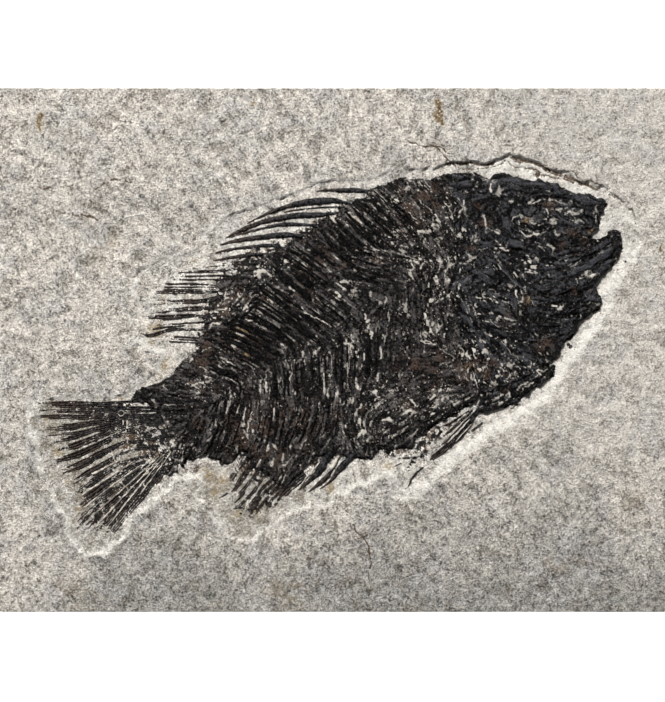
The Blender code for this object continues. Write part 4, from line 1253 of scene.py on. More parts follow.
class StoneSettings(bpy.types.PropertyGroup):
    """Sizes and colours of the limestone."""

    trough_depth: length_setting("Trough depth", "How deep the trough round the head looks", 0.85 * MM)
    fin_depth: length_setting("Fin bed depth", "How deep the trough round the fins looks", 0.6 * MM)
    ripple: length_setting("Ripple", "Height of the gentle unevenness of the layers", 0.09 * MM)
    scratch_depth: length_setting("Scratch depth", "Depth of the preparator's scratches", 0.06 * MM)
    seed: IntProperty(name="Seed", description="Draw of the stone's unevenness", default=11)
    warm_colour: colour_setting("Warm stone", "Stone at the upper left", (0.63, 0.585, 0.53))
    cool_colour: colour_setting("Cool stone", "Stone at the lower right", (0.335, 0.325, 0.30))
    lilac_colour: colour_setting("Lilac stone", "Greyer blotches", (0.46, 0.45, 0.44))
    # Cream of scraped stone, also used for painted light along the trough's edge on the tail side.
    cream_colour: colour_setting("Fresh stone", "Freshly scraped stone", (0.88, 0.85, 0.79))
    speck_colour: colour_setting("Specks", "Dark specks in the stone", (0.16, 0.14, 0.12))
    patch_colour: colour_setting("Patches", "Grey-brown patches", (0.33, 0.30, 0.255))
    ochre_colour: colour_setting("Ochre", "Iron-stained stone", (0.38, 0.29, 0.16))
    brown_colour: colour_setting("Brown edges", "Lamina edges and rust marks", (0.10, 0.065, 0.04))
    # Colour of the dark film, which round the bones also serves as painted shade in their gaps.
    film_and_gap_shade_colour: colour_setting("Bone film", "Dark film under and between the bones", (0.012, 0.010, 0.009))


class BoneSettings(bpy.types.PropertyGroup):
    """Sizes and colours of the bones."""

    rim_height: length_setting("Rim height", "Height of the body's edge over its bed", 0.9 * MM)
    crown_height: length_setting("Crown height", "How far the body's middle rises over its edge", 0.65 * MM)
    plate_height: length_setting("Plate height", "How far single plates stand out", 0.14 * MM)
    fibre_height: length_setting("Fibre height", "Height of the streaks on the body", 0.07 * MM)
    seed: IntProperty(name="Seed", description="Draw of the bones' unevenness", default=31)
    body_colour: colour_setting("Body film", "Darkest colour of the body", (0.0012, 0.001, 0.001))
    # The body, skull and fin sheen colours are painted sheen: lighter base colour that stands in for the
    # slate reflection off glossy bone, along with the streaks' own lighter colour.
    body_sheen: colour_setting("Body streaks", "Lighter streaks of the body", (0.095, 0.088, 0.088))
    skull_colour: colour_setting("Skull bone", "Darkest colour of the head", (0.001, 0.001, 0.0012))
    skull_sheen: colour_setting("Skull sheen", "Slate sheen of the head", (0.058, 0.060, 0.068))
    fin_colour: colour_setting("Fin bone", "Darkest colour of the fins", (0.0015, 0.0014, 0.0014))
    fin_sheen: colour_setting("Fin sheen", "Lighter streaks of the fins", (0.07, 0.066, 0.066))
    brown_colour: colour_setting("Brown stain", "Brown stain on bone", (0.068, 0.045, 0.035))
    dust_colour: colour_setting("Dust", "Thin stone dust left on bone", (0.18, 0.168, 0.156))
    pale_colour: colour_setting("Pale specks", "Stone left on bone", (0.62, 0.58, 0.52))
    tan_colour: colour_setting("Tan patches", "Iron-stained patches on bone", (0.30, 0.21, 0.12))


class StageSettings(bpy.types.PropertyGroup):
    """The studio round the slab."""

    lens: FloatProperty(name="Lens", description="Focal length in millimetres", default=100.0, min=1.0)
    key_power: FloatProperty(
        name="Key light", description="Power of the soft key light", default=36.0, unit="POWER"
    )
    sky_strength: FloatProperty(name="Sky", description="Strength of the even light", default=0.12, min=0.0)
    floor_glow: FloatProperty(
        name="Floor glow", description="How far the floor lifts its own shadows", default=1.25
    )


# ---- Operators
def settle(obj, slot, *nodes):
    """Let a finished piece stand for its solids and ride with the slab."""
    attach(obj, BODY)
    if nodes:
        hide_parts(*nodes)


def numbered(stem, count):
    """Names of the numbered solids of one fin."""
    return [f"{stem}_{number}" for number in range(1, count + 1)]


def rod_form(station_spacing, joint_spacing, joint_depth, unevenness, waver, rise):
    """Name the numbers that shape one kind of rod."""
    return {
        "Station spacing": station_spacing, "Joint spacing": joint_spacing, "Joint depth": joint_depth,
        "Unevenness": unevenness, "Waver": waver, "Rise": rise, "Sides": 8,
    }


# Lattices, as left, top, right, bottom and step, in grid steps.
STONE_LATTICE = (-11.5, 88, 676.5, 612, 1.0)
BODY_LATTICE = (124, 168, 628, 496, 0.85)
FIN_LATTICE = (100, 160, 640, 500, 2)
ROOT_LATTICE = (100, 160, 640, 500, 4)

# The stone's upper face is made of square cells of 1, 2 or 4 steps, within a number of triangles. A
# coarse cell split into halves adds 3 cells, and one split into whole steps adds 15.
COARSE = 4
STONE_TRIANGLES = 164_000
HALF_SHARE = 0.44
EXTRA_FOR_HALF = 3
EXTRA_FOR_WHOLE = 15
HEIGHT_SCALE = 0.08 * MM
MASK_SCALE = 0.25
MASK_SHARES = {"fresh_and_painted_light": 1.0, "brown": 3.0, "film": 2.0, "ochre": 0.3}
KEEN_SHARE = 16

# The block's sides: levels of their points over the underside, and the roughness of the saw cut.
SIDE_LEVELS = (0.0116, 0.0106, 0.0094, 0.0082, 0.0070, 0.0058, 0.0046, 0.0034, 0.0022, 0.0010, 0.0004)
SIDE_WEAR = 0.06 * MM
LAYER_WEAR = 0.12 * MM
FOOT_WEAR = 0.25 * MM
FOOT_LEVEL = 0.5 * MM
SIDE_BAND = 0.35 * MM
SHARP_ANGLE = 0.9

# Long bones over the trunk, in grid steps along the grain and as shares of a row's own sizes.
STRIDE = 5.0
EDGE_GAP = 1.5
MISSING_BONES = 0.15
BONE_SHIFTS = (-0.4, 0.4)
BONE_LENGTHS = (0.65, 1.15)
BONE_GIRTHS = (0.55, 1.4)
BONE_ENDS = (0.12, 0.88)

# Rays: where they root, and the strands that they split into, as shares of a ray's width.
FIRST_ROOT_COLUMN = 104
ROOT_REACH = 14
STRAND_WIDTH = 1.9
STRAND_SPREAD = (0.95, 1.3)
STRAND_TAPER = (0.95, 0.85)
OUTER_WIDTH = 0.82
OUTER_TAPER = (1, 0.85)
RIDGE_LIFT = 0.28 * MM
ROD_FORMS = {
    "rib": rod_form(0.4 * MM, 6 * MM, 0.15, 0.7, 0.25 * MM, 0.55),
    "spine": rod_form(0.25 * MM, 0.7 * MM, 0.0, 0.3, 0.15 * MM, 0.6),
    "smooth ray": rod_form(0.25 * MM, 0.7 * MM, 0.0, 0.3, 0.15 * MM, 0.8),
    "ray": rod_form(0.25 * MM, 0.7 * MM, 0.3, 0.8, 0.2 * MM, 0.8),
    "ridge": rod_form(0.25 * MM, 1.5 * MM, 0.6, 1.6, 0.5 * MM, 0.7),
}
PELVIC_SOLIDS = ["pelvic_spine", *numbered("pelvic_ray", 3)]

FIN_LINES = DORSAL_SPINES + SOFT_DORSAL_RAYS + ANAL_SPINES + ANAL_RAYS + TAIL_RAYS + PELVIC_RODS
# Each flat-lying bone: piece name, solid that it stands for, finish slot, outline.
BODY_PARTS = [
    ("trunk_film", "trunk", "body_film", TRUNK_EDGE),
    ("skull_roof", "skull", "skull_bone", SKULL_EDGE),
    ("cheek_bones", "cheek_plate", "skull_bone", CHEEK_EDGE),
    ("gill_cover_bones", "gill_cover", "skull_bone", GILL_COVER_EDGE),
    ("jaw_bone", "lower_jaw", "skull_bone", LOWER_JAW_EDGE),
    ("throat_rays", "throat_bones", "skull_bone", THROAT_EDGE),
    ("pelvic_girdle_bars", "pelvic_girdle", "skull_bone", PELVIC_GIRDLE_EDGE),
]


class StoneSurface:
    """The stone's height over its flat underside and the masks of its colours, on one lattice."""

    def __init__(self, stone):
        self.seed = seed = stone.seed
        self.field = field = Field(*STONE_LATTICE)
        self.wavy = wavy = field.bent(1.2, 7, seed + 30)
        self.trough = wavy.inside(TROUGH_EDGE) + 0.8 * field.cloud(5, seed)
        self.near = smooth_step(-2, 2, self.trough)
        self.at_head = smooth_step(390, 470, field.c)
        self.slope = field.paint(field.blank(), SCRAPED_SLOPE, 1.0, 10)
        field.paint(self.slope, SCRAPED_TAIL_SLOPE, 0.5, 6)
        fall, side = np.gradient(field.cloud(60, seed + 1, 1) * 6 + field.inside(TROUGH_EDGE))
        self.scratches = field.fibres(np.arctan2(fall, side), 1.6, 5, seed + 2)
        self.body = highest(*(wavy.inside(part[3]) for part in BODY_PARTS))
        self.hidden = smooth_step(3, 5, self.body)
        laminae = wavy.lines(LAMINA_EDGES, 1.6)
        laminae *= smooth_step(-0.9, 0.3, field.cloud(6, seed + 4) + 1.0 * self.at_head)
        self.laminae = laminae * blend(smooth_step(370, 460, field.c), 0.5, 1)
        self.cracks = wavy.lines(CRACKS, 1.6, 1.5) * field.mottle(-1.6, -0.4, 7, seed + 5)
        self.rust = wavy.lines(RUST_MARKS, 3.0)
        self.keen = highest(self.rust, self.cracks)
        self.height = self.raise_top(stone)
        self.add_colours()

    def raise_top(self, stone):
        """Work out the height: gentle layers, the scraped trough, broken laminae and cracks."""
        field, seed = self.field, self.seed
        steps = np.round(field.cloud(46, seed + 3, 3) * 2.2) / 2.2
        rough = field.cloud(3, seed + 6)
        run = blend(self.at_head, 4.5, 2.2) + 11 * self.slope
        sunk = smooth_step(0, 1, (self.trough + 1.0) / run)
        height = SLAB_TOP + stone.ripple * (
            0.35 * steps + 0.5 * field.cloud(18, seed + 7, 3) + 0.4 * rough
        )
        height -= blend(self.at_head, stone.fin_depth, stone.trough_depth) * sunk
        height += stone.scratch_depth * self.near * (self.scratches + 0.8 * field.cloud(4, seed + 8))
        height -= 0.22 * MM * self.laminae + 0.16 * MM * self.cracks
        return height - 0.35 * MM * smooth_step(0.5, 3, self.body)

    def add_colours(self):
        """Work out the masks that the limestone's finish reads."""
        field, seed, near, trough = self.field, self.seed, self.near, self.trough
        held_back = 80 * (1 - smooth_step(20, 120, field.c)) + 28 * (1 - smooth_step(240, 340, field.c))
        gloom = smooth_step(455, 610, field.r - held_back)
        calm = smooth_step(430, 560, field.c) * (1 - smooth_step(400, 540, field.r))
        at_belly = smooth_step(200, 270, field.c)
        rim_shade = 0.35 * (1 - at_belly) * smooth_step(-16, -3, trough) * (1 - near)
        dusky = field.patches(DUSKY_PATCHES)
        tone = 0.08 + 0.95 * gloom - 0.12 * calm
        tone += 0.13 * field.cloud(40, seed + 9, 3) + 0.08 * field.cloud(12, seed + 10, 3)
        tone += 0.2 * field.patches(SHADED_PATCHES)
        tone += rim_shade * smooth_step(400, 430, field.r)
        tone = highest(tone, 0.95 * dusky)

        # A pale line of scraped stone along the trough's edge. On the tail side it is wider and stronger:
        # painted light that lifts the shading of the trough's walls there.
        scraped_line_and_painted_light = np.exp(-(((trough - 0.3) / blend(at_belly, 2.5, 1.8)) ** 2))
        scraped_line_and_painted_light *= field.mottle(-1.6, 0.0, 3, seed + 11)
        band = smooth_step(-0.6, 0.4, trough) * (1 - smooth_step(9.5, 11, trough))
        fresh_and_painted_light = near * (0.15 + 0.18 * field.cloud(5, seed + 12)) + 0.8 * self.slope * band
        fresh_and_painted_light = highest(fresh_and_painted_light, 0.95 * field.patches(CREAM_PATCHES) * near)
        fresh_and_painted_light = highest(fresh_and_painted_light + 0.22 * self.scratches * near, field.lines(WHITE_MARKS, 3, 0.9))
        fresh_and_painted_light = fresh_and_painted_light * (1 - 0.8 * dusky) + blend(at_belly, 1.3, 0.75) * scraped_line_and_painted_light + 0.15 * calm

        ochre = 0.45 * (field.patches(OCHRE_PATCHES) * field.mottle(-0.8, 0.8, 8, seed + 13, 3))
        olive = field.patches(OLIVE_SPOTS) * (0.75 + 0.25 * field.cloud(4, seed + 22)) * near
        ochre = highest(ochre, olive, 1.4 * self.rust, 0.4 * dusky) * (1 - 0.8 * scraped_line_and_painted_light)

        fins = field.lines(FIN_LINES, 1.2)
        halo = smooth_step(0.25, 0.8, field.soften(field.lines(FIN_LINES, 0.6), 1.6))
        between = smooth_step(0.35, 0.9, field.soften(fins, 2.4))
        fringe = field.lines(FRINGES, 6) * near
        brown = highest(
            0.9 * self.laminae,
            0.6 * self.rust * self.rust,
            1.1 * self.cracks,
            field.patches(UMBER_PATCHES) * field.mottle(-0.9, 0.3, 3.5, seed + 21),
            0.5 * halo * near * (0.6 + 0.3 * field.cloud(4, seed + 14)),
            between * near * (0.5 + 0.35 * field.cloud(3, seed + 17)),
            fringe * field.mottle(-1.0, 0.6, 4, seed + 18) * 0.7,
        )
        at_tail = 1 - smooth_step(170, 210, field.c)
        # Dark film on the stone. Under and just round the bones it is partly painted shade, so that the
        # gaps between them look dark.
        film = highest(
            smooth_step(-1.6, -0.2, self.body),
            field.lines(SOOT_MARKS, 1.6),
            field.patches(BROKEN_PATCHES) * field.mottle(-0.2, 0.6, 3.2, seed + 15),
            0.8 * fins * near,
            fringe * smooth_step(-0.3, 0.7, field.cloud(3, seed + 16) + 0.6 * at_tail),
        )
        bare = near * (1 - smooth_step(-1, 1, self.body))
        self.masks = {
            "tone": tone, "calm": calm, "fresh_and_painted_light": np.clip(fresh_and_painted_light, 0, 1), "ochre": ochre, "brown": brown,
            "film": film, "crumbs": bare * field.mottle(0.2, 1.2, 14, seed + 20),
        }


def detail(values, size):
    """How far each square of a size strays from a level through its corners."""
    rows, columns = (values.shape[0] - 1) // size, (values.shape[1] - 1) // size
    coarse = values[: rows * size + 1 : size, : columns * size + 1 : size]
    strays = np.zeros((rows, columns))
    for down in range(size):
        for right in range(size):
            v, u = (down + 0.5) / size, (right + 0.5) / size
            level = (
                coarse[:-1, :-1] * (1 - v) * (1 - u) + coarse[:-1, 1:] * (1 - v) * u
                + coarse[1:, :-1] * v * (1 - u) + coarse[1:, 1:] * v * u
            )
            mean = values[down : rows * size : size, right : columns * size : size]
            strays = np.maximum(strays, np.abs(mean[:rows, :columns] - level))
    return strays


def stone_cells(surface):
    """Choose square cells of three sizes: (row, column, size), fine only where the surface needs it."""
    need = detail(surface.height, COARSE) / HEIGHT_SCALE
    for label, share in MASK_SHARES.items():
        need = np.maximum(need, share * detail(surface.masks[label], COARSE) / MASK_SCALE)
    need = np.maximum(need, KEEN_SHARE * detail(surface.keen, COARSE))
    rows, columns = need.shape
    cover = surface.hidden[: rows * COARSE : COARSE, : columns * COARSE : COARSE]
    edge = np.zeros(need.shape, bool)
    edge[1:-1, 1:-1] = True
    need = need * (1 - 0.97 * cover) * edge
    ranked = np.sort(need.ravel())[::-1]
    half_count = int(HALF_SHARE * need.size)
    whole_count = (STONE_TRIANGLES // 2 - need.size - EXTRA_FOR_HALF * half_count) // EXTRA_FOR_WHOLE
    half_level = ranked[min(half_count + whole_count, ranked.size - 1)]
    whole_level = ranked[min(whole_count, ranked.size - 1)]
    sizes = np.where(need > whole_level, 1, np.where(need > half_level, 2, COARSE))
    cells = []
    for size in (1, 2, COARSE):
        found_rows, found_columns = COARSE * np.array(np.nonzero(sizes == size))
        for down in range(0, COARSE, size):
            for right in range(0, COARSE, size):
                same = np.full(len(found_rows), size)
                cells.append(np.stack((found_rows + down, found_columns + right, same), axis=1))
    return np.concatenate(cells)


def cell_faces(cells, width, used):
    """Turn cells into faces whose sides take in every lattice point that a finer neighbour uses."""
    faces = []
    for row, column, size in cells.tolist():
        corner = row * width + column
        if size == 1:
            ring = (corner, corner + width, corner + width + 1, corner + 1)
        else:
            ring = [corner + k * width for k in range(size)]
            ring += [corner + size * width + k for k in range(size)]
            ring += [corner + size + (size - k) * width for k in range(size)]
            ring += [corner + size - k for k in range(size)]
        faces.append([point for point in ring if used[point]])
    return faces


def add_sides(points, faces, seed):
    """Close the block: rough sawn sides and a flat underside."""
    low, high = np.array(SLAB_LOW), np.array(SLAB_HIGH)
    x, y = points[:, 0], points[:, 1]
    close = GRID_STEP / 10
    walls = (
        (x < x.min() + close, -y),
        (y < y.min() + close, x),
        (x > x.max() - close, y),
        (y > y.max() - close, -x),
    )
    ring = []
    for on_wall, along in walls:
        found = np.nonzero(on_wall)[0]
        ring.append(found[np.argsort(along[found])][:-1])
    ring = np.concatenate(ring)
    above = ring
    draw = np.random.default_rng(seed)
    source = list(range(len(points)))
    stack = [points]
    middle = (low + high) / 2
    half = (high - low) / 2
    following = np.roll(np.arange(len(ring)), -1)
    for level in (*SIDE_LEVELS, low[2]):
        layer = points[ring].copy()
        wear = SIDE_WEAR * draw.standard_normal(len(ring))
        wear = (wear + np.roll(wear, 1) + np.roll(wear, -1)) / 2 + LAYER_WEAR * draw.random()
        if level < FOOT_LEVEL:
            wear = wear + FOOT_WEAR
        pull = 1 - np.abs(wear)[:, None] / half[:2]
        layer[:, :2] = middle[:2] + (layer[:, :2] - middle[:2]) * pull
        layer[:, 2] = level
        below = len(source) + np.arange(len(ring))
        for k, after in enumerate(following):
            faces.append([int(above[after]), int(above[k]), int(below[k]), int(below[after])])
        source.extend(ring.tolist())
        stack.append(layer)
        above = below
    faces.append(below[::-1].tolist())
    return np.concatenate(stack), faces, np.array(source)


class FOSSIL_OT_stone(bpy.types.Operator):
    """Build the limestone block with its prepared trough"""

    bl_idname = "fossil.stone"
    bl_label = "Limestone Block"

    def execute(self, context):
        stone = context.scene.fossil_stone
        surface = StoneSurface(stone)
        field = surface.field
        cells = stone_cells(surface)
        width = field.c.shape[1]
        used = np.zeros(field.c.size, bool)
        rows, columns, sizes = cells.T
        for down, right in ((0, 0), (0, 1), (1, 0), (1, 1)):
            used[(rows + down * sizes) * width + columns + right * sizes] = True
        faces = cell_faces(cells, width, used)

        kept = np.nonzero(used)[0]
        number = np.full(used.size, -1)
        number[kept] = np.arange(len(kept))
        x, y = on_slab(field.c.ravel()[kept], field.r.ravel()[kept])
        points = np.stack((x, y, surface.height.ravel()[kept]), axis=1)
        faces = [number[face].tolist() for face in faces]
        top_count = len(faces)
        points, faces, source = add_sides(points, faces, stone.seed)
        values = {label: mask.ravel()[kept][source] for label, mask in surface.masks.items()}
        sides = np.arange(len(points)) >= len(kept)
        for label in ("fresh_and_painted_light", "ochre", "film", "crumbs"):
            values[label][sides] = 0
        values["brown"][sides] = 0.35 * (np.sin(points[sides, 2] / SIDE_BAND) > 0.6)
        obj = keep_mesh("limestone_block", points.tolist(), faces, limestone_finish(stone), values)
        obj.data.polygons.foreach_set("use_smooth", np.arange(len(faces)) < top_count)
        obj.data.set_sharp_from_angle(angle=SHARP_ANGLE)
        settle(obj, "limestone", "limestone_slab")
        return {"FINISHED"}


def cell_mean(values):
    """Mean of each lattice cell's four corners."""
    top, bottom = values[..., :-1, :], values[..., 1:, :]
    return (top[..., :-1] + bottom[..., :-1] + top[..., 1:] + bottom[..., 1:]) / 4


def body_owners(wavy, fray):
    """Share the body's cells out between its bones, and give the distance to its frayed outer edge."""
    reaches = np.stack([wavy.inside(part[3]) for part in BODY_PARTS])
    ordered = np.sort(reaches, axis=0)
    edge = ordered[-1] + 1.3 * smooth_step(-3.0, -1.4, ordered[-2]) + fray
    owner = np.where(cell_mean(edge) > 0, cell_mean(reaches).argmax(axis=0), -1)
    for _ in range(12):
        if not any([fill_corners(owner, part) for part in range(len(BODY_PARTS))]):
            break
    return owner, edge


def edge_shift(field, owner, edge):
    """How far each point on the body's outer edge moves, so that the edge is not a staircase."""
    outside = np.pad(owner < 0, 1, constant_values=True)
    beside = outside[:-1, :-1] | outside[1:, :-1] | outside[:-1, 1:] | outside[1:, 1:]
    fall, run = np.gradient(edge, field.step)
    steep = np.maximum(fall * fall + run * run, 0.2)
    limit = 0.7 * field.step
    shift_c = np.clip(-edge * run / steep, -limit, limit) * beside
    shift_r = np.clip(-edge * fall / steep, -limit, limit) * beside
    return shift_c, shift_r


def widened(lines, extra):
    """Copy lines with every width larger."""
    return [[(c, r, width + extra) for c, r, width in line] for line in lines]


class BodySurface:
    """The height and colour masks of the flat-lying bones, worked out on one lattice."""

    def __init__(self, bone):
        seed = bone.seed
        self.field = field = Field(*BODY_LATTICE)
        wavy = field.bent(0.9, 5, seed)
        head = field.soften((wavy.inside(HEAD_REGION) > 0).astype(float), 2)
        fray = field.cloud(3.0, seed + 15) * blend(head, 0.9, 0.25)
        self.owner, edge = body_owners(wavy, fray)
        self.shift = edge_shift(field, self.owner, edge)
        direction = field.lay(GRAIN)
        solid = (edge > 0).astype(float)
        self.dome = np.clip(2 * field.soften(solid, 7) - 1, 0, 1)
        rim = np.clip(2 * field.soften(solid, 1.0) - 1, 0, 1)

        # Plates, streaks and drawn bones.
        long_plates = field.shards(direction, 24, 4.2, seed + 1)
        broad_plates = field.shards(direction, 20, 9.0, seed + 2)
        joint, plates, shade = (blend(head, a, b) for a, b in zip(long_plates, broad_plates))
        threads = field.fibres(direction, 1.5, 5, seed + 3)
        hairs = field.fibres(direction, 1.1, 3, seed + 4)
        scratches = field.fibres(direction, 1.2, 7, seed + 17)
        ragged = field.bent(0.6, 3, seed + 8)
        pale_lines = ragged.lines(PALE_LINES, 0.6, 1.2, seed + 19)
        pale_lines = pale_lines * blend(0.5, 1, field.mottle(-1.2, 0.1, 2.2, seed + 7))
        broken = field.mottle(-0.5, 0.6, 4, seed + 20)
        pale_lines = pale_lines * (1 - head * 0.45 * (1 - broken))
        dark_lines = ragged.lines(DARK_LINES, 1.6)
        head_bones = ragged.lines(HEAD_BONES, 1.6)
        bone_edges = np.maximum(ragged.lines(widened(HEAD_BONES, 2.6), 1.0) - head_bones, 0)
        self.rods = trace_rows(field, direction, wavy.inside(TRUNK_EDGE), seed + 60)
        rods = field.lines(self.rods, 1.0)
        rod_edges = np.maximum(field.lines(widened(self.rods, 2.2), 0.8) - rods, 0)

        # Rubble and flecks of stone, and the gaps between plates.
        speckled = field.patches(SPECKLED)
        stained = field.patches(BROWN)
        rubble = 0.8 * highest(stained, speckled) + 0.15 * field.cloud(12, seed + 16)
        rubble = np.clip(rubble, 0, 1)
        common = field.flecks(direction, 1.3, 1.6, seed + 9, 0.04)
        dense = field.flecks(direction, 1.5, 1.5, seed + 10, 0.20)
        flecks = highest(common * (0.5 + speckled), dense * smooth_step(0.2, 0.9, speckled))
        flecks = flecks * (1 - 0.8 * head_bones)
        gaps = joint * (1 - 0.9 * head_bones)
        chinks = highest(gaps, 0.8 * rod_edges, 0.9 * bone_edges)

        # Height.
        crumble = field.cloud(2.6, seed + 6)
        top = TRUNK_BED + bone.rim_height + bone.crown_height * self.dome + 0.15 * MM * head
        top += bone.plate_height * (plates - 1.4 * gaps) * (1 - 0.6 * head_bones) * (1 - 0.75 * rubble)
        streak = (0.6 * threads + 0.5 * hairs) * (1 - rubble) * (1 - 0.5 * head)
        top += bone.fibre_height * (streak + (0.4 + 1.3 * rubble) * (1 - 0.5 * head) * crumble)
        top += 0.10 * MM * field.cloud(14, seed + 5, 3) * self.dome
        top += 0.22 * MM * head_bones - 0.20 * MM * bone_edges - 0.14 * MM * rod_edges
        top += 0.12 * MM * pale_lines + 0.08 * MM * flecks - 0.20 * MM * dark_lines
        self.top = top - 0.3 * MM * (1 - rim)

        # Colours.
        patchy = field.mottle(-0.3, 0.8, 9, seed + 11, 3)
        stony = chinks * patchy * field.mottle(-0.6, 0.8, 3, seed + 18)
        # How far the bone lightens towards its sheen colour: each plate's random tone, the streaks and the
        # raised head bones. Partly the streaks' own colour, partly painted sheen.
        fibre_and_sheen = 0.39 + 0.40 * (shade - 0.5) + 0.20 * threads + 0.14 * hairs
        fibre_and_sheen += 0.22 * head_bones - 0.45 * dark_lines - 0.5 * chinks * (1 - patchy)
        streaks = smooth_step(0.9, 2.0, scratches) * (1 - 0.6 * head)
        scored = 0.9 * smooth_step(1.6, 2.6, scratches) * (1 - 0.7 * head)
        worn = field.mottle(0.4, 1.6, 7, seed + 12, 3)
        dust = 0.02 + 0.45 * stony + 0.24 * worn + 0.20 * speckled + 0.45 * streaks + 0.3 * pale_lines
        dust += 0.08 * threads - 0.35 * head_bones - 0.3 * dark_lines - 0.1 * head
        self.masks = {
            "fibre_and_sheen": np.clip(fibre_and_sheen, 0, 1),
            "pale": highest(pale_lines, flecks, 0.75 * stony, scored),
            "dust": np.clip(dust, 0, 1),
            "brown": 0.9 * (stained * field.mottle(-0.8, 0.5, 5, seed + 13)),
            "tan": 0.7 * (field.patches(TAN_PATCHES) * field.mottle(-0.7, 0.5, 4, seed + 14)),
            "crumbs": np.clip(0.10 + speckled, 0, 1) * (1 - head_bones),
        }


class FOSSIL_OT_body(bpy.types.Operator):
    """Build the trunk, skull, cheek, gill cover, jaw, throat and pelvic girdle"""

    bl_idname = "fossil.body"
    bl_label = "Flat-lying Bones"

    def execute(self, context):
        bone = context.scene.fossil_bone
        surface = BodySurface(bone)
        finishes = {
            "body_film": bone_finish("body_film_streaks_and_sheen", bone, bone.body_colour, bone.body_sheen, 0.30),
            "skull_bone": bone_finish("head_bone_sheen", bone, bone.skull_colour, bone.skull_sheen, 0.22),
        }
        for number, (name, node, slot, _) in enumerate(BODY_PARTS):
            obj = relief_mesh(name, surface, number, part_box(node)[0][2], finishes[slot])
            settle(obj, slot, node)
        self.add_long_bones(surface, finishes["skull_bone"], bone)
        return {"FINISHED"}

    def add_long_bones(self, surface, finish, bone):
        """Lay rows of thin spines and ribs over the trunk, along its grain."""
        bed = TRUNK_BED + bone.rim_height

        def level(column, row):
            return bed + bone.crown_height * surface.field.near(surface.dome, column, row)

        values = {**ROD_FORMS["rib"], "Seed": 9.0, "Material": finish}
        obj = grow("rib_and_spine_bones", line_mesh("rib_lines", surface.rods, level), rod_tree(), values)
        settle(obj, "skull_bone")


def trace_rows(field, direction, reach, seed):
    """Follow the grain from evenly spaced centres and return lines of (column, row, width)."""
    draw = np.random.default_rng(seed)
    lines = []
    for path, spacing, half, width in BONE_ROWS:
        path = np.array(path, float)
        runs = np.hypot(*np.diff(path, axis=0).T)
        places = np.concatenate(([0], np.cumsum(runs)))
        for place in np.arange(0, places[-1], spacing):
            place += spacing * draw.uniform(*BONE_SHIFTS)
            start = (np.interp(place, places, path[:, 0]), np.interp(place, places, path[:, 1]))
            lengths = half * draw.uniform(*BONE_LENGTHS, 2)
            girth = width * draw.uniform(*BONE_GIRTHS)
            if draw.random() < MISSING_BONES:
                continue
            back = follow(field, direction, reach, start, -1, lengths[0])
            on = follow(field, direction, reach, start, 1, lengths[1])
            points = back[::-1] + on[1:]
            if len(points) < 4:
                continue
            taper = np.sin(np.linspace(*BONE_ENDS, len(points)) * np.pi) ** 0.6
            lines.append([(c, r, girth * share) for (c, r), share in zip(points, taper.tolist())])
    return lines


def follow(field, direction, reach, start, way, length):
    """Walk along the grain from a start, and stop at the body's edge."""
    points = [start]
    heading = field.near(direction, *start) + (np.pi if way < 0 else 0)
    for _ in range(int(length / STRIDE)):
        column, row = points[-1]
        turn = field.near(direction, column, row)
        if np.cos(turn - heading) < 0:
            turn += np.pi
        heading = turn
        step = (column + STRIDE * float(np.cos(turn)), row + STRIDE * float(np.sin(turn)))
        if field.near(reach, *step) < EDGE_GAP:
            break
        points.append(step)
    return points


def root_rays(rays, length):
    """Lengthen each ray whose root is near the trunk, so that it starts under the trunk's edge."""
    coarse = Field(*ROOT_LATTICE)
    reach = coarse.inside(TRUNK_EDGE)
    rooted = []
    for ray in rays:
        (c0, r0, w0), (c1, r1, _) = ray[:2]
        if c0 > FIRST_ROOT_COLUMN and coarse.near(reach, c0, r0) > -ROOT_REACH:
            share = length / float(np.hypot(c1 - c0, r1 - r0))
            ray = [(c0 + (c0 - c1) * share, r0 + (r0 - r1) * share, w0), *ray]
        rooted.append(ray)
    return rooted


def split_rays(rays, widening, seed):
    """Split each ray into thin strands that spread and end unevenly towards its tip."""
    draw = np.random.default_rng(seed)
    strands = []
    for ray in rays:
        points = np.array(ray, float)
        places = np.linspace(0, 1, len(points))
        dense = np.linspace(0, 1, 3 * len(points))
        c, r, w = (np.interp(dense, places, points[:, k]) for k in range(3))
        w = w * widening
        outer = len(w) // 3
        least = OUTER_WIDTH * w.max() * np.linspace(*OUTER_TAPER, len(w) - outer)
        w[outer:] = np.maximum(w[outer:], least)
        run, fall = np.gradient(c), np.gradient(r)
        length = np.hypot(run, fall)
        count = int(np.clip(round(w.max() / STRAND_WIDTH), 1, 3))
        for strand in range(count):
            side = strand - (count - 1) / 2
            offset = side * w / count * np.linspace(*STRAND_SPREAD, len(dense))
            girth = w / count * np.linspace(*STRAND_TAPER, len(dense))
            end = len(dense) - int(draw.integers(0, 3))
            sc, sr = c - offset * fall / length, r + offset * run / length
            strands.append(list(zip(sc[:end].tolist(), sr[:end].tolist(), girth[:end].tolist())))
    return strands


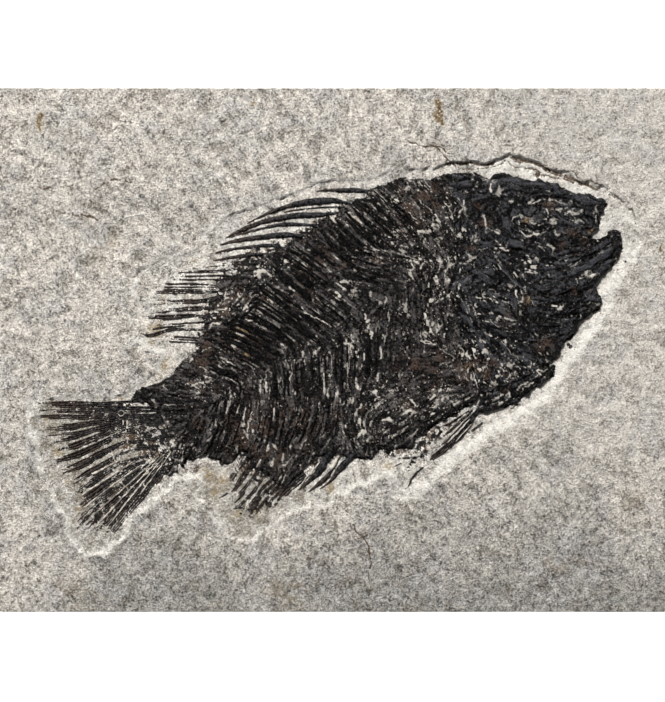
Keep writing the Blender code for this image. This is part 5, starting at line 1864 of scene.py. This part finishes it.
class FOSSIL_OT_fins(bpy.types.Operator):
    """Build the spines and rays of every fin"""

    bl_idname = "fossil.fins"
    bl_label = "Fins"

    def execute(self, context):
        bone = context.scene.fossil_bone
        tree = rod_tree()
        spine = fin_finish("glossy_spine_bone", bone, bone.skull_colour, bone.skull_sheen, 0.25)
        ray = fin_finish("jointed_ray_bone", bone, bone.fin_colour, bone.fin_sheen, 0.35)
        bed = SLAB_TOP - context.scene.fossil_stone.fin_depth
        body_top = TRUNK_BED + bone.rim_height + 0.1 * MM
        coarse = Field(*FIN_LATTICE)
        cover = smooth_step(-2, 3, coarse.inside(TRUNK_EDGE))

        def level(column, row):
            return bed + (body_top - bed) * coarse.near(cover, column, row)

        soft_dorsal = numbered("soft_dorsal_ray", 11)
        # Name, lines, widening of split rays or 0, how far the roots run in, form, finish, solids.
        fins = [
            ("dorsal_fin_spines", DORSAL_SPINES, 0, 6, "spine", spine, numbered("dorsal_spine", 8)),
            ("soft_dorsal_fin_rays", SOFT_DORSAL_RAYS, 1.45, 10, "ray", ray, soft_dorsal),
            ("anal_fin_spines", ANAL_SPINES, 0, 12, "spine", spine, numbered("anal_spine", 3)),
            ("anal_fin_rays", ANAL_RAYS, 1.55, 22, "ray", ray, numbered("anal_ray", 8)),
            ("tail_fin_rays", TAIL_RAYS, 1.6, 10, "ray", ray, numbered("tail_ray", 17)),
            ("pelvic_fin_bones", PELVIC_RODS, 1.0, 6, "smooth ray", spine, PELVIC_SOLIDS),
        ]
        for number, (name, lines, widening, root, form, material, nodes) in enumerate(fins):
            values = {**ROD_FORMS[form], "Seed": float(number), "Material": material}
            lines = root_rays(lines, root)
            if widening:
                lines = split_rays(lines, widening, bone.seed + number)
            settle(grow(name, line_mesh(name, lines, level), tree, values), "fin_bone", *nodes)
        values = {**ROD_FORMS["ridge"], "Seed": 20.0, "Material": crumb_finish(bone)}
        host = line_mesh("ridge_lines", STONE_RIDGES, lambda column, row: level(column, row) + RIDGE_LIFT)
        settle(grow("stone_ridges", host, tree, values), "limestone")
        return {"FINISHED"}


class FOSSIL_OT_crumbs(bpy.types.Operator):
    """Scatter pale crumbs of stone over the bones and the trough"""

    bl_idname = "fossil.crumbs"
    bl_label = "Stone Crumbs"

    def execute(self, context):
        tree = crumb_tree()
        finish = crumb_finish(context.scene.fossil_bone)
        # Name, host, number for each square metre, smallest and largest crumb.
        hosts = [
            ("body_crumbs", "trunk_film", 1_000_000.0, 0.04 * MM, 0.20 * MM),
            ("gill_cover_crumbs", "gill_cover_bones", 800_000.0, 0.04 * MM, 0.20 * MM),
            ("trough_crumbs", "limestone_block", 900_000.0, 0.06 * MM, 0.28 * MM),
        ]
        for number, (name, host, density, smallest, largest) in enumerate(hosts):
            values = {
                "Density": density, "Smallest": smallest, "Largest": largest, "Flatness": 0.45,
                "Seed": number, "Material": finish,
            }
            settle(grow(name, bpy.data.objects[host].data, tree, values), "limestone")
        return {"FINISHED"}


VIEW_HEIGHT = 0.4618
VIEW_ROW = 351.0
FLOOR_SIZE = 1.6
FLOOR_TINTS = ((0.93, 0.93, 0.93), (0.9, 0.9, 0.9))
KEY_PLACE = (-0.42, 0.95, 1.02)
KEY_SIZE = 0.30
KEY_COLOUR = (1.0, 0.985, 0.965)
SKY_COLOUR = (0.97, 0.985, 1.0, 1.0)
SEEN_FURTHEST = 10.0


class FOSSIL_OT_stage(bpy.types.Operator):
    """Build the pale floor, the soft lights and the camera"""

    bl_idname = "fossil.stage"
    bl_label = "Studio"

    def execute(self, context):
        scene = context.scene
        stage = scene.fossil_stage
        material, graph, place, shader = new_finish("studio_floor")
        drift = graph.noise(place, 3.0, 1.0, 0.5)
        colour = graph.blend(drift.rise(-0.5, 0.5) * 0.2, *FLOOR_TINTS)
        plug(graph, shader, {"Base Color": colour, "Emission Color": colour})
        shader.inputs["Emission Strength"].default_value = stage.floor_glow
        shader.inputs["Roughness"].default_value = 0.9
        half = FLOOR_SIZE / 2
        corners = [(-half, -half, 0), (half, -half, 0), (half, half, 0), (-half, half, 0)]
        keep_mesh("studio_floor", corners, [(0, 1, 2, 3)], material, {})

        lamp = bpy.data.lights.new("key_light", "AREA")
        lamp.shape = "DISK"
        lamp.size = KEY_SIZE
        lamp.energy = stage.key_power
        lamp.color = KEY_COLOUR
        key = bpy.data.objects.new("key_light", lamp)
        key.location = KEY_PLACE
        towards = Vector((0.0, 0.0, SLAB_TOP)) - key.location
        key.rotation_euler = towards.to_track_quat("-Z", "Y").to_euler()
        scene.collection.objects.link(key)

        world = bpy.data.worlds.new("studio_sky")
        world.use_nodes = True
        sky = world.node_tree.nodes["Background"]
        sky.inputs["Color"].default_value = SKY_COLOUR
        sky.inputs["Strength"].default_value = stage.sky_strength
        scene.world = world

        lens = bpy.data.cameras.new("camera")
        lens.lens = stage.lens
        lens.sensor_fit = "HORIZONTAL"
        lens.clip_end = SEEN_FURTHEST
        camera = bpy.data.objects.new("camera", lens)
        camera.location = (*on_slab(GRID_CENTRE[0], VIEW_ROW), SLAB_TOP + VIEW_HEIGHT)
        scene.collection.objects.link(camera)
        scene.camera = camera
        scene.view_settings.view_transform = "Standard"
        return {"FINISHED"}


class FOSSIL_PT_panel(bpy.types.Panel):
    """Settings and builders of the fossil fish slab"""

    bl_label = "Fossil Fish Slab"
    bl_idname = "FOSSIL_PT_panel"
    bl_space_type = "VIEW_3D"
    bl_region_type = "UI"
    bl_category = "Fossil"

    def draw(self, context):
        layout = self.layout
        for group in ("fossil_stone", "fossil_bone", "fossil_stage"):
            settings = getattr(context.scene, group)
            box = layout.box()
            for label in settings.__annotations__:
                box.prop(settings, label)
        for operator in OPERATORS:
            layout.operator(operator.bl_idname)


OPERATORS = (FOSSIL_OT_stone, FOSSIL_OT_body, FOSSIL_OT_fins, FOSSIL_OT_crumbs, FOSSIL_OT_stage)
CLASSES = (StoneSettings, BoneSettings, StageSettings, *OPERATORS, FOSSIL_PT_panel)


def register():
    """Register every class and hang the settings on the scene."""
    for cls in CLASSES:
        bpy.utils.register_class(cls)
    bpy.types.Scene.fossil_stone = PointerProperty(type=StoneSettings)
    bpy.types.Scene.fossil_bone = PointerProperty(type=BoneSettings)
    bpy.types.Scene.fossil_stage = PointerProperty(type=StageSettings)


def unregister():
    """Take the settings and classes away again."""
    del bpy.types.Scene.fossil_stage
    del bpy.types.Scene.fossil_bone
    del bpy.types.Scene.fossil_stone
    for cls in reversed(CLASSES):
        bpy.utils.unregister_class(cls)


def main():
    """Build everything in order."""
    register()
    bpy.ops.fossil.stone()
    bpy.ops.fossil.body()
    bpy.ops.fossil.fins()
    bpy.ops.fossil.crumbs()
    bpy.ops.fossil.stage()


if __name__ == "__main__":
    main()
